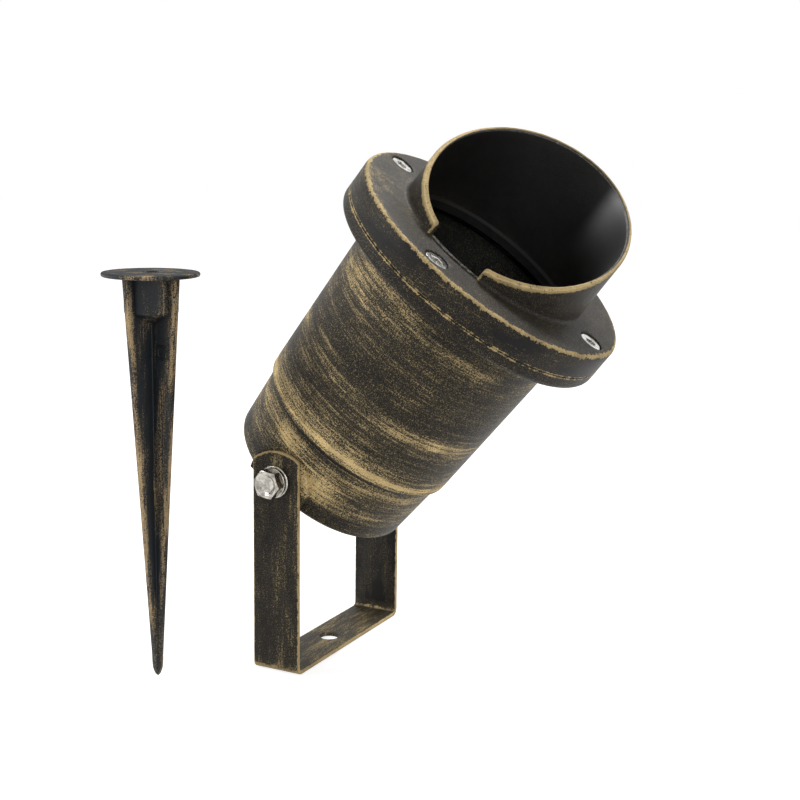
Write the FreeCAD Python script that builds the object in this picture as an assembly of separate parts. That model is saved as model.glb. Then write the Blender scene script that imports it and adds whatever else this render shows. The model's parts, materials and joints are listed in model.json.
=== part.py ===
import FreeCAD, Part
import math
import os

# Garden spike spotlight. Millimetres, +Z up.
# The origin is the centre of the base hole, on the underside of the U bracket.
# +Y runs along the tilt axis and the lamp aims towards +X.

# ---- bracket: flat bar bent to a U ----
bar_width = 20.0
bar_thickness = 1.5
bar_bend_radius = 1.5
bracket_length = 83.0
pivot_height = 76.0
leg_above_pivot = 11.6
leg_top_arc = 16.0
leg_corner_round = 1.6
base_hole_diameter = 7.5
base_hole_chamfer = 0.3
leg_hole_diameter = 6.5

# ---- tilt bolts and washers ----
pivot_bolt_diameter = 6.0
pivot_bolt_length = 16.0
pivot_bolt_flats = 10.0
pivot_bolt_head_height = 4.0
pivot_bolt_bevel = 0.7
pivot_bolt_dish_diameter = 6.4
pivot_bolt_dish_depth = 0.5
pivot_bolt_turn = -9.0
flat_washer_diameter = 12.5
flat_washer_thickness = 1.6
spring_washer_diameter = 11.6
spring_washer_thickness = 1.5
spring_washer_gap = 1.2
spring_washer_turn = 40.0
washer_hole_diameter = 6.3

# ---- head: where it aims, and its stations along the aim axis from the pivot ----
aim_angle = 51.5
rear_station = -6.0
step_station = 22.5
barrel_front_station = 95.8
flange_thickness = 5.9
cap_thickness = 10.5
parting_edge_round = 0.4

# ---- housing ----
rear_growth = 2.0
step_height = 1.7
flange_margin = 8.0
seat_shoulder = 0.8
step_length = 0.9
step_foot_round = 1.2
step_top_round = 0.8
rear_edge_round = 3.0
bore_rear_round = 2.0
flange_rear_round = 2.2
flange_root_round = 1.5
rear_wall = 4.0
side_wall = 3.0
glass_seat_depth = 4.0
glass_seat_radius = 45.0
pad_radius = 13.0
pad_height = 1.379
pad_clearance = 0.2
pad_rear_trim = 1.5
boss_radius = 8.0
boss_closed_end = 2.0
pivot_hole_spare = 1.1

# ---- front cap with its slanted hood ----
cap_front_round = 1.8
hood_inset = 5.5
hood_draft = 0.016
hood_wall = 2.0
hood_root_round = 1.5
hood_low = 3.5
hood_high = 40.6
hood_rim_round = 0.6
cap_throat_ledge = 1.0
cap_throat_depth = 4.0
throat_edge_round = 0.6
notch_width = 24.0
notch_lip = 0.8

# ---- cap screws ----
cap_screw_count = 4
cap_screw_inset = 4.5
cap_screw_diameter = 5.0
cap_screw_head_diameter = 8.8
cap_screw_head_height = 5.0
cap_screw_head_round = 0.6
cap_screw_sink = 0.8
cap_screw_length = 10.0
cap_screw_drive_flats = 4.0
cap_screw_drive_depth = 2.5
cap_screw_hole_clearance = 0.5
counterbore_clearance = 0.6

# ---- lens and its channel gasket ----
lens_edge_room = 2.0
lens_thickness = 4.0
lens_edge_round = 0.4
gasket_lip = 1.0
gasket_lip_width = 2.5
gasket_edge_round = 0.5
gasket_gap = 0.2

# ---- lampholder and its stand ----
holder_radius = 15.0
holder_height = 16.0
holder_face_station = 42.0
holder_edge_round = 1.5
pin_spacing = 10.0
pin_slot_width = 3.6
pin_slot_turn = 2.6
pin_hole_radius = 2.8
pin_hole_depth = 10.0
contact_thickness = 0.8
contact_height = 5.0
contact_side_gap = 0.2
stand_thickness = 1.2
stand_wire_gap = 0.3
stand_span = 34.0
stand_foot_length = 12.0
stand_boss_height = 4.0
stand_boss_radius = 4.5
stand_screw_inset = 7.0
stand_wall_gap = 1.0
holder_screw_spacing = 20.0
holder_screw_sink = 3.0

# ---- small screws ----
m3 = 3.0
m4 = 4.0
small_head_ratio = 1.85
small_head_height_ratio = 0.6
drive_slot_ratio = 0.2
drive_slot_depth_ratio = 0.3
thread_gap = 0.05
screw_hole_gap = 0.15
screw_head_gap = 0.3
floor_screw_length = 6.0

# ---- terminal block, earth point and wires ----
block_length = 26.0
block_width = 11.0
block_height = 13.0
block_edge_round = 1.0
block_boss_gap = 0.5
pole_pitch = 8.0
pole_hole_diameter = 3.4
pole_height = 6.0
clamp_screw_offset = 2.6
clamp_screw_sink = 1.0
clamp_screw_slot = 0.6
clamp_screw_slot_depth = 0.8
block_screw_depth = 2.5
block_screw_spare = 0.5
earth_boss_radius = 5.0
earth_boss_gap = 2.5
tag_thickness = 0.8
tag_radius = 4.0
tag_tail = 7.0
tag_tail_width = 3.2
wire_diameter = 2.0
wire_bend = 3.0

# ---- cable gland ----
gland_thread_diameter = 12.0
gland_hex_flats = 16.0
gland_hex_height = 4.0
gland_gasket_thickness = 1.0
gland_gasket_radius = 7.6
gland_barrel_diameter = 10.5
gland_barrel_length = 6.0
gland_bore_diameter = 7.0
gland_nut_flats = 15.0
gland_nut_length = 11.5
gland_nut_round = 3.0
gland_nut_gap = 0.5
gland_nut_lip = 1.2
gland_nut_seal_gap = 0.2
gland_gasket_round = 0.3
seal_bore_diameter = 6.0
locknut_height = 3.0
locknut_flats = 16.0
thread_end_spare = 1.0

# ---- spike, standing beside the lamp ----
spike_length = 155.0
spike_place = (-37.5, -66.5)
spike_turn = 37.5
spike_disc_diameter = 36.0
spike_disc_thickness = 1.6
spike_disc_round = 0.7
spike_cross_width = 27.0
spike_rib_thickness = 2.6
spike_tip_width = 3.2
spike_point_height = 3.0
spike_point_width = 0.9
spike_boss_diameter = 19.8
spike_boss_height = 13.0
spike_boss_cone = 5.0
spike_thread_diameter = 6.0
spike_thread_depth = 14.0
ejector_mark_diameter = 4.4
ejector_mark_depth = 0.3
ejector_mark_heights = (70.0, 126.0)
ejector_mark_offset = 0.52

UP = FreeCAD.Vector(0, 0, 1)
ALONG_X = FreeCAD.Vector(1, 0, 0)
ALONG_Y = FreeCAD.Vector(0, 1, 0)
ORIGIN = FreeCAD.Vector(0, 0, 0)

# Cutting shapes run past the faces they cut by this much, and compared places may differ by this.
overcut = 1.0
small = 1e-4
rim_test_points = 9

# ---- places worked out from the sizes above ----
leg_outer = bracket_length / 2
leg_inner = leg_outer - bar_thickness
pad_face = leg_inner - pad_clearance
bolt_seat = leg_outer + flat_washer_thickness + spring_washer_thickness
bolt_tip = bolt_seat - pivot_bolt_length
pivot_hole_end = bolt_tip - pivot_hole_spare
boss_end = pivot_hole_end - boss_closed_end

parting_station = barrel_front_station + flange_thickness
face_station = parting_station + cap_thickness
floor_station = rear_station + rear_wall
seat_station = parting_station - glass_seat_depth
lens_back_station = seat_station + gasket_lip
cap_seat_station = lens_back_station + lens_thickness + gasket_lip
throat_top_station = cap_seat_station + cap_throat_depth
head_seat_station = face_station - cap_screw_sink - cap_screw_head_height
hood_middle_station = face_station + (hood_low + hood_high) / 2

# The bracket sets the barrel's radius at the tilt axis, and the glass sets the front.
growth_before_pivot = rear_growth * rear_station / (rear_station - step_station)
rear_radius = pad_face - pad_height - growth_before_pivot
radius_below_step = rear_radius + rear_growth
radius_above_step = radius_below_step + step_height
barrel_front_radius = glass_seat_radius - seat_shoulder
cap_screw_circle = glass_seat_radius + cap_screw_inset
flange_radius = cap_screw_circle + flange_margin
hood_radius = glass_seat_radius - hood_inset
cap_throat_radius = hood_radius - hood_wall - cap_throat_ledge
lens_radius = glass_seat_radius - lens_edge_room
bore_front_radius = barrel_front_radius - side_wall
bore_rear_radius = rear_radius - side_wall
hood_slope = math.atan2(hood_high - hood_low, 2 * hood_radius)

stand_foot_station = floor_station + stand_boss_height
stand_screw_place = stand_span / 2 + stand_screw_inset
holder_back_station = holder_face_station - holder_height
holder_slot_station = holder_face_station - pin_hole_depth
block_top_station = floor_station + block_height
pole_station = floor_station + pole_height
block_back_face = block_boss_gap - boss_end
block_inner_face = block_back_face + block_width
block_middle = (block_back_face + block_inner_face) / 2
wire_run = block_inner_face + wire_bend
stand_width = -2 * (wire_run + wire_diameter / 2 + stand_wire_gap)
earth_place = boss_end - earth_boss_radius - earth_boss_gap

gland_face_station = rear_station - gland_gasket_thickness
gland_hex_station = gland_face_station - gland_hex_height
barrel_end_station = gland_hex_station - gland_barrel_length
nut_top_station = gland_hex_station - gland_nut_gap
nut_end_station = nut_top_station - gland_nut_length
locknut_station = floor_station + locknut_height
thread_end_station = locknut_station + thread_end_spare
spike_disc_underside = spike_length - spike_disc_thickness


def vec(x, y, z):
    return FreeCAD.Vector(x, y, z)


def rounded_path(points):
    """Edges through points, each (vector, radius), with tangent arcs at the rounded ones."""
    edges = []
    last = points[0][0]
    for (before, _), (corner, radius), (after, _) in zip(points, points[1:], points[2:]):
        if radius == 0:
            edges.append(Part.LineSegment(last, corner).toShape())
            last = corner
            continue
        arriving = (corner - before).normalize()
        leaving = (after - corner).normalize()
        turn = arriving.getAngle(leaving)
        reach = radius * math.tan(turn / 2)
        start = corner - arriving * reach
        end = corner + leaving * reach
        inward = (leaving - arriving).normalize()
        middle = corner + inward * (radius / math.cos(turn / 2) - radius)
        if (start - last).Length > small:
            edges.append(Part.LineSegment(last, start).toShape())
        edges.append(Part.Arc(start, middle, end).toShape())
        last = end
    if (points[-1][0] - last).Length > small:
        edges.append(Part.LineSegment(last, points[-1][0]).toShape())
    return edges


def closed_face(corners):
    """Face inside a closed outline, whose first corner is sharp."""
    ring = corners + [corners[0]]
    return Part.Face(Part.Wire(rounded_path(ring)))


def turned(outline):
    """Solid of revolution about the Z axis from corners (radius, height[, rounding])."""
    corners = []
    for corner in outline:
        rounding = corner[2] if len(corner) == 3 else 0
        corners.append((vec(corner[0], 0, corner[1]), rounding))
    return closed_face(corners).revolve(ORIGIN, UP, 360)


def cylinder(radius, low, high, x=0.0, y=0.0):
    return Part.makeCylinder(radius, high - low, vec(x, y, low), UP)


def side_cylinder(radius, near, far, side, z=0.0):
    """Cylinder along the Y axis on one side, from |y| = near to |y| = far."""
    return Part.makeCylinder(radius, far - near, vec(0, side * near, z), ALONG_Y * side)


def box(x0, x1, y0, y1, z0, z1):
    return Part.makeBox(x1 - x0, y1 - y0, z1 - z0, vec(x0, y0, z0))


def hexagon(flats, low, high, x=0.0, y=0.0):
    """Hexagonal prism along Z, measured across its flats."""
    corner = flats / math.sqrt(3)
    points = []
    for index in range(7):
        angle = math.radians(60 * index)
        points.append(vec(x + corner * math.cos(angle), y + corner * math.sin(angle), low))
    return Part.Face(Part.makePolygon(points)).extrude(vec(0, 0, high - low))


def aimed(shape):
    """Move a piece from the head's own frame, axis up, to where the head aims at rest."""
    placed = shape.copy()
    placed.rotate(ORIGIN, ALONG_Y, 90 - aim_angle)
    placed.translate(vec(0, 0, pivot_height))
    return placed


def around(count, radius):
    """Centres of a ring of evenly spaced places."""
    for index in range(count):
        angle = math.radians(360 * index / count)
        yield radius * math.cos(angle), radius * math.sin(angle)


def small_screw(diameter, length, seat, x, y):
    """Slotted pan-head screw along Z, its head seated at a height and its shank below."""
    head_radius = diameter * small_head_ratio / 2
    head_height = diameter * small_head_height_ratio
    shank = cylinder(diameter / 2 - thread_gap, seat - length, seat, x, y)
    head = cylinder(head_radius, seat, seat + head_height, x, y)
    half_slot = diameter * drive_slot_ratio / 2
    slot_floor = seat + head_height - diameter * drive_slot_depth_ratio
    slot = box(x - head_radius, x + head_radius, y - half_slot, y + half_slot,
               slot_floor, seat + head_height)
    return shank.fuse(head).cut(slot)


def bent_wire(route):
    """Round wire along a route of points, with tangent bends."""
    points = [(vec(*place), wire_bend) for place in route]
    path = Part.Wire(rounded_path(points))
    start = points[0][0]
    heading = (points[1][0] - start).normalize()
    section = Part.Wire(Part.makeCircle(wire_diameter / 2, start, heading))
    return path.makePipeShell([section], True, False)


def build_bracket():
    half = bar_width / 2
    outer = bar_bend_radius + bar_thickness
    top = pivot_height + leg_above_pivot
    outline = [
        (vec(-half, 0, 0), 0),
        (vec(-half, leg_outer, 0), outer),
        (vec(-half, leg_outer, top), 0),
        (vec(-half, leg_inner, top), 0),
        (vec(-half, leg_inner, bar_thickness), bar_bend_radius),
        (vec(-half, -leg_inner, bar_thickness), bar_bend_radius),
        (vec(-half, -leg_inner, top), 0),
        (vec(-half, -leg_outer, top), 0),
        (vec(-half, -leg_outer, 0), outer),
    ]
    bar = closed_face(outline).extrude(vec(bar_width, 0, 0))
    return bar.common(leg_profile()).cut(bracket_holes())


def leg_profile():
    """Side outline of the bracket: straight edges under a shallow arc with rounded corners."""
    half = bar_width / 2
    top = pivot_height + leg_above_pivot
    shoulder = top - leg_top_arc + math.sqrt(leg_top_arc ** 2 - half ** 2)
    side = leg_outer + overcut
    edges = [
        Part.LineSegment(vec(-half, -side, 0), vec(half, -side, 0)).toShape(),
        Part.LineSegment(vec(half, -side, 0), vec(half, -side, shoulder)).toShape(),
        Part.Arc(vec(half, -side, shoulder), vec(0, -side, top),
                 vec(-half, -side, shoulder)).toShape(),
        Part.LineSegment(vec(-half, -side, shoulder), vec(-half, -side, 0)).toShape(),
    ]
    block = Part.Face(Part.Wire(edges)).extrude(vec(0, 2 * side, 0))
    shoulders = [edge for edge in block.Edges
                 if abs(edge.BoundBox.ZMin - shoulder) < small
                 and abs(edge.BoundBox.ZMax - shoulder) < small]
    return block.makeFillet(leg_corner_round, shoulders)


def bracket_holes():
    radius = base_hole_diameter / 2
    base = cylinder(radius, -overcut, bar_thickness + overcut)
    rim = Part.makeCone(radius, radius + base_hole_chamfer, base_hole_chamfer,
                        vec(0, 0, bar_thickness - base_hole_chamfer), UP)
    pivot = Part.makeCylinder(leg_hole_diameter / 2, bracket_length + 2 * overcut,
                              vec(0, -leg_outer - overcut, pivot_height), ALONG_Y)
    return base.fuse([rim, pivot])


def flat_washer(side):
    ring = side_cylinder(flat_washer_diameter / 2, leg_outer,
                         leg_outer + flat_washer_thickness, side, pivot_height)
    hole = side_cylinder(washer_hole_diameter / 2, leg_outer - overcut,
                         bolt_seat + overcut, side, pivot_height)
    return ring.cut(hole)


def spring_washer(side):
    near = leg_outer + flat_washer_thickness
    ring = side_cylinder(spring_washer_diameter / 2, near, bolt_seat, side, pivot_height)
    hole = side_cylinder(washer_hole_diameter / 2, near - overcut, bolt_seat + overcut,
                         side, pivot_height)
    split = box(-spring_washer_diameter, 0, -spring_washer_thickness, spring_washer_thickness,
                -spring_washer_gap / 2, spring_washer_gap / 2)
    split.rotate(ORIGIN, ALONG_Y, spring_washer_turn)
    split.translate(vec(0, side * (near + bolt_seat) / 2, pivot_height))
    return ring.cut(hole).cut(split)


def pivot_bolt(side):
    """Hexagon bolt along Y, with a dished top and chamfered corners."""
    corner = pivot_bolt_flats / math.sqrt(3)
    top = pivot_bolt_head_height
    head = hexagon(pivot_bolt_flats, 0, top)
    bevel = turned([(0, 0), (corner, 0), (corner, top - pivot_bolt_bevel),
                    (corner - pivot_bolt_bevel, top), (0, top)])
    dish = cylinder(pivot_bolt_dish_diameter / 2, top - pivot_bolt_dish_depth, top + overcut)
    shank = cylinder(pivot_bolt_diameter / 2 - thread_gap, -pivot_bolt_length, 0)
    bolt = head.common(bevel).cut(dish).fuse(shank)
    bolt.rotate(ORIGIN, UP, pivot_bolt_turn)
    bolt.rotate(ORIGIN, ALONG_X, -90 * side)
    bolt.translate(vec(0, side * bolt_seat, pivot_height))
    return bolt


def housing_shell():
    return turned([
        (gland_thread_diameter / 2 + thread_gap, rear_station),
        (rear_radius, rear_station, rear_edge_round),
        (radius_below_step, step_station, step_foot_round),
        (radius_above_step, step_station + step_length, step_top_round),
        (barrel_front_radius, barrel_front_station, flange_root_round),
        (flange_radius, barrel_front_station, flange_rear_round),
        (flange_radius, parting_station, parting_edge_round),
        (glass_seat_radius, parting_station),
        (glass_seat_radius, seat_station),
        (bore_front_radius, seat_station),
        (bore_rear_radius, floor_station, bore_rear_round),
        (gland_thread_diameter / 2 + thread_gap, floor_station),
    ])


def floor_bosses():
    """Raised seats on the inside of the rear wall for the stand and the earth screw."""
    foot = floor_station - overcut
    bosses = [cylinder(stand_boss_radius, foot, stand_foot_station, side * stand_screw_place)
              for side in (-1, 1)]
    bosses.append(cylinder(earth_boss_radius, foot, stand_foot_station, 0, earth_place))
    return bosses


def pivot_boss(side):
    """Outer pad against the bracket leg, and the inner boss that holds the bolt."""
    pad = side_cylinder(pad_radius, bore_rear_radius + side_wall / 2, pad_face, side)
    keep = box(-pad_radius, pad_radius, -leg_outer, leg_outer,
               rear_station + pad_rear_trim, pad_radius)
    boss = side_cylinder(boss_radius, boss_end, pad_face - pad_clearance, side)
    inside = box(-boss_radius, boss_radius, -leg_outer, leg_outer,
                 rear_station + rear_wall / 2, boss_radius)
    return pad.common(keep).fuse(boss.common(inside))


def housing_holes():
    depth = stand_boss_height + rear_wall - boss_closed_end
    holes = []
    for side in (-1, 1):
        holes.append(side_cylinder(pivot_bolt_diameter / 2, pivot_hole_end, leg_outer, side))
        holes.append(cylinder(m4 / 2, stand_foot_station - depth, stand_foot_station + overcut,
                              side * stand_screw_place))
    holes.append(cylinder(m4 / 2, stand_foot_station - depth, stand_foot_station + overcut,
                          0, earth_place))
    holes.append(cylinder(m3 / 2, floor_station - block_screw_depth, floor_station + overcut,
                          pole_pitch / 2, block_middle))
    for x, y in around(cap_screw_count, cap_screw_circle):
        holes.append(cylinder(cap_screw_diameter / 2, barrel_front_station - overcut,
                              parting_station + overcut, x, y))
    return holes


def build_housing():
    shell = housing_shell().fuse(floor_bosses() + [pivot_boss(-1), pivot_boss(1)])
    return aimed(shell.cut(housing_holes()))


def cap_body():
    """Screwed ring with the drafted hood still cut square, above its highest rim."""
    hood_top = face_station + hood_high + hood_low
    draft = hood_draft * (hood_top - face_station)
    bore = hood_radius - hood_wall
    return turned([
        (glass_seat_radius, parting_station),
        (flange_radius, parting_station, parting_edge_round),
        (flange_radius, face_station, cap_front_round),
        (hood_radius, face_station, hood_root_round),
        (hood_radius - draft, hood_top),
        (bore - draft, hood_top),
        (bore, throat_top_station, throat_edge_round),
        (cap_throat_radius, throat_top_station - (bore - cap_throat_radius)),
        (cap_throat_radius, cap_seat_station),
        (glass_seat_radius, cap_seat_station),
    ])


def hood_cut():
    """Everything above the slanted rim, which is low at -Y and high at +Y."""
    reach = 2 * hood_radius
    above = box(-reach, reach, -reach, reach, 0, reach)
    above.rotate(ORIGIN, ALONG_X, math.degrees(hood_slope))
    above.translate(vec(0, 0, hood_middle_station))
    return above


def rim_edges(shape):
    """The two edges round the slanted rim."""
    normal = vec(0, -math.sin(hood_slope), math.cos(hood_slope))
    middle = vec(0, 0, hood_middle_station)
    found = []
    for edge in shape.Edges:
        places = edge.discretize(rim_test_points)
        if all(abs((place - middle).dot(normal)) < small for place in places):
            found.append(edge)
    return found


def build_front_cap():
    cap = cap_body().cut(hood_cut())
    cap = cap.makeFillet(hood_rim_round, rim_edges(cap))
    cap = cap.cut(box(-notch_width / 2, notch_width / 2, -2 * hood_radius, 0,
                      face_station + notch_lip, face_station + hood_high))
    for x, y in around(cap_screw_count, cap_screw_circle):
        cap = cap.cut(cylinder((cap_screw_diameter + cap_screw_hole_clearance) / 2,
                               parting_station - overcut, face_station + overcut, x, y))
        cap = cap.cut(cylinder((cap_screw_head_diameter + counterbore_clearance) / 2,
                               head_seat_station, face_station + overcut, x, y))
    return aimed(cap)


def cap_screw(x, y):
    head_radius = cap_screw_head_diameter / 2
    top = head_seat_station + cap_screw_head_height
    head = turned([(0, head_seat_station), (head_radius, head_seat_station),
                   (head_radius, top, cap_screw_head_round), (0, top)])
    head.translate(vec(x, y, 0))
    shank = cylinder(cap_screw_diameter / 2 - thread_gap,
                     head_seat_station - cap_screw_length, head_seat_station, x, y)
    drive = hexagon(cap_screw_drive_flats, top - cap_screw_drive_depth, top + overcut, x, y)
    return aimed(head.fuse(shank).cut(drive))


def build_lens():
    return aimed(turned([
        (0, lens_back_station),
        (lens_radius, lens_back_station, lens_edge_round),
        (lens_radius, lens_back_station + lens_thickness, lens_edge_round),
        (0, lens_back_station + lens_thickness),
    ]))


def build_lens_gasket():
    """Channel section that wraps the edge of the lens."""
    outer = glass_seat_radius - gasket_gap
    lip = lens_radius - gasket_lip_width
    front = lens_back_station + lens_thickness
    return aimed(turned([
        (lip, seat_station),
        (outer, seat_station, gasket_edge_round),
        (outer, cap_seat_station, gasket_edge_round),
        (lip, cap_seat_station),
        (lip, front),
        (lens_radius, front),
        (lens_radius, lens_back_station),
        (lip, lens_back_station),
    ]))


def holder_screw_places():
    for side in (-1, 1):
        yield side * holder_screw_spacing / 2, 0


def build_lampholder():
    """Twist-lock lampholder: a ceramic drum with two keyhole slots."""
    top = holder_face_station
    drum = turned([(0, holder_back_station), (holder_radius, holder_back_station),
                   (holder_radius, top, holder_edge_round), (0, top)])
    for side in (-1, 1):
        y = side * pin_spacing / 2
        entry = cylinder(pin_hole_radius, holder_slot_station, top + overcut, 0, y)
        x0, x1 = sorted((0, side * (pin_hole_radius + pin_slot_turn)))
        slot = box(x0, x1, y - pin_slot_width / 2, y + pin_slot_width / 2,
                   holder_slot_station, top + overcut)
        drum = drum.cut(entry.fuse(slot))
    for x, y in holder_screw_places():
        drum = drum.cut(cylinder(m3 / 2 + screw_hole_gap, holder_back_station - overcut,
                                 top + overcut, x, y))
        drum = drum.cut(cylinder(m3 * small_head_ratio / 2 + screw_head_gap,
                                 top - holder_screw_sink, top + overcut, x, y))
    return aimed(drum)


def contact(side):
    """Spring leaf at the floor of one keyhole slot."""
    floor = holder_slot_station
    y = side * pin_spacing / 2
    inner = pin_hole_radius + pin_slot_turn
    x0, x1 = sorted((side * (inner - contact_thickness), side * inner))
    half = pin_slot_width / 2 - contact_side_gap
    return aimed(box(x0, x1, y - half, y + half, floor, floor + contact_height))


def build_stand():
    """Bent strip that lifts the lampholder off the rear wall."""
    half_span = stand_span / 2
    foot_end = half_span + stand_foot_length
    half = stand_width / 2
    low = stand_foot_station
    top = holder_back_station
    t = stand_thickness
    outline = [
        (vec(-foot_end, -half, low), 0),
        (vec(-half_span + t, -half, low), t),
        (vec(-half_span + t, -half, top - t), t),
        (vec(half_span - t, -half, top - t), t),
        (vec(half_span - t, -half, low), t),
        (vec(foot_end, -half, low), 0),
        (vec(foot_end, -half, low + t), 0),
        (vec(half_span, -half, low + t), t / 2),
        (vec(half_span, -half, top), 2 * t),
        (vec(-half_span, -half, top), 2 * t),
        (vec(-half_span, -half, low + t), t / 2),
        (vec(-foot_end, -half, low + t), 0),
    ]
    strip = closed_face(outline).extrude(vec(0, stand_width, 0))
    strip = strip.common(cylinder(bore_rear_radius - stand_wall_gap, low, top))
    for side in (-1, 1):
        strip = strip.cut(cylinder(m4 / 2 + screw_hole_gap, low - overcut, low + t + overcut,
                                   side * stand_screw_place))
    for x, y in holder_screw_places():
        strip = strip.cut(cylinder(m3 / 2, top - t - overcut, top + overcut, x, y))
    return aimed(strip)


def pole_places():
    for index in (-1, 0, 1):
        yield index * pole_pitch


def clamp_screw_places():
    for side in (-1, 1):
        yield block_middle + side * clamp_screw_offset


def build_terminal_block():
    """Three-pole block: through holes for the wires, screw wells from above."""
    low = floor_station
    high = block_top_station
    body = box(-block_length / 2, block_length / 2, block_back_face, block_inner_face, low, high)
    corners = [edge for edge in body.Edges if abs(edge.BoundBox.ZLength - block_height) < small]
    body = body.makeFillet(block_edge_round, corners)
    for x in pole_places():
        hole = Part.makeCylinder(pole_hole_diameter / 2, block_width + 2 * overcut,
                                 vec(x, block_back_face - overcut, pole_station), ALONG_Y)
        body = body.cut(hole)
        for y in clamp_screw_places():
            body = body.cut(cylinder(m3 / 2, pole_station, high + overcut, x, y))
    body = body.cut(cylinder(m3 / 2 + screw_hole_gap, low - overcut, high + overcut,
                             pole_pitch / 2, block_middle))
    return aimed(body)


def terminal_screws():
    """Headless clamping screws in the wells of the block."""
    low = pole_station + pole_hole_diameter / 2
    high = block_top_station - clamp_screw_sink
    half_slot = clamp_screw_slot / 2
    screws = []
    for x in pole_places():
        for y in clamp_screw_places():
            screw = cylinder(m3 / 2 - thread_gap, low, high, x, y)
            slot = box(x - m3, x + m3, y - half_slot, y + half_slot,
                       high - clamp_screw_slot_depth, high)
            screws.append(aimed(screw.cut(slot)))
    return screws


def build_earth_tag():
    """Ring tongue under the earth screw, with its crimped tail."""
    low = stand_foot_station
    high = low + tag_thickness
    ring = cylinder(tag_radius, low, high, 0, earth_place)
    tail_end = earth_place - tag_tail
    tail = box(-tag_tail_width / 2, tag_tail_width / 2, tail_end, earth_place, low, high)
    hole = cylinder(m4 / 2 + screw_hole_gap, low - overcut, high + overcut, 0, earth_place)
    return aimed(ring.fuse(tail).cut(hole))


def lead(x_pole, x_holder):
    """Wire from one pole of the block, up beside the stand, to the back of the lampholder."""
    return aimed(bent_wire([
        (x_pole, block_inner_face, pole_station),
        (x_pole, wire_run, pole_station),
        (x_pole, wire_run, (pole_station + holder_back_station) / 2),
        (x_holder, wire_run, holder_back_station - 2 * wire_bend),
        (x_holder, wire_run, holder_back_station),
    ]))


def earth_lead():
    """Wire from the middle pole over the gland's locknut to the tag."""
    tail = earth_place - tag_tail
    low = stand_foot_station + tag_thickness + wire_diameter / 2
    return aimed(bent_wire([
        (0, block_inner_face, pole_station),
        (0, wire_run, pole_station),
        (0, -wire_bend, pole_station + wire_diameter),
        (0, tail - 2 * wire_bend, low),
        (0, tail + wire_diameter, low),
    ]))


def build_gland_body():
    """Hexagon body with its thread through the rear wall and its barrel behind."""
    bore = cylinder(gland_bore_diameter / 2, barrel_end_station - overcut,
                    thread_end_station + overcut)
    body = hexagon(gland_hex_flats, gland_hex_station, gland_face_station)
    thread = cylinder(gland_thread_diameter / 2, gland_face_station, thread_end_station)
    barrel = cylinder(gland_barrel_diameter / 2, barrel_end_station, gland_hex_station)
    return aimed(body.fuse([thread, barrel]).cut(bore))


def build_gland_nut():
    """Domed nut that squeezes the seal on the cable."""
    corner = gland_nut_flats / math.sqrt(3)
    low = nut_end_station
    high = nut_top_station
    bore = gland_barrel_diameter / 2 + thread_gap
    dome = turned([
        (gland_bore_diameter / 2, low),
        (corner, low, gland_nut_round),
        (corner, high),
        (bore, high),
        (bore, barrel_end_station - gland_nut_seal_gap),
        (gland_bore_diameter / 2, low + gland_nut_lip),
    ])
    return aimed(dome.common(hexagon(gland_nut_flats, low, high)))


def build_gland_seal():
    """Rubber sleeve inside the barrel of the gland."""
    bore = seal_bore_diameter / 2
    outer = gland_bore_diameter / 2 - thread_gap
    return aimed(turned([
        (bore, barrel_end_station),
        (outer, barrel_end_station),
        (outer, gland_face_station),
        (bore, gland_face_station),
    ]))


def build_gland_gasket():
    bore = gland_thread_diameter / 2 + thread_gap
    return aimed(turned([
        (bore, gland_face_station),
        (gland_gasket_radius, gland_face_station, gland_gasket_round),
        (gland_gasket_radius, rear_station, gland_gasket_round),
        (bore, rear_station),
    ]))


def build_gland_locknut():
    hole = cylinder(gland_thread_diameter / 2 + thread_gap, floor_station - overcut,
                    locknut_station + overcut)
    return aimed(hexagon(locknut_flats, floor_station, locknut_station).cut(hole))


def spike_rib():
    """One of the two crossed plates, tapering from the disc to the point."""
    half = spike_cross_width / 2
    tip = spike_tip_width / 2
    top = spike_disc_underside
    points = [
        vec(-half, 0, top),
        vec(-tip, 0, spike_point_height),
        vec(-spike_point_width / 2, 0, 0),
        vec(spike_point_width / 2, 0, 0),
        vec(tip, 0, spike_point_height),
        vec(half, 0, top),
        vec(-half, 0, top),
    ]
    plate = Part.Face(Part.makePolygon(points)).extrude(vec(0, spike_rib_thickness, 0))
    plate.translate(vec(0, -spike_rib_thickness / 2, 0))
    return plate


def spike_point_limit():
    """Cone that trims the crossed plates to a point."""
    low = spike_point_width / 2
    slope = (spike_tip_width - spike_point_width) / 2 / spike_point_height
    return Part.makeCone(low, low + slope * spike_length, spike_length)


def ejector_marks():
    """Shallow round marks left by the mould on one side of a rib."""
    half = spike_rib_thickness / 2
    marks = []
    for height in ejector_mark_heights:
        reach = spike_cross_width / 2 * height / spike_length * ejector_mark_offset
        start = vec(reach, -half - overcut + ejector_mark_depth, height)
        marks.append(Part.makeCylinder(ejector_mark_diameter / 2, overcut, start, ALONG_Y))
    return marks


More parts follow.
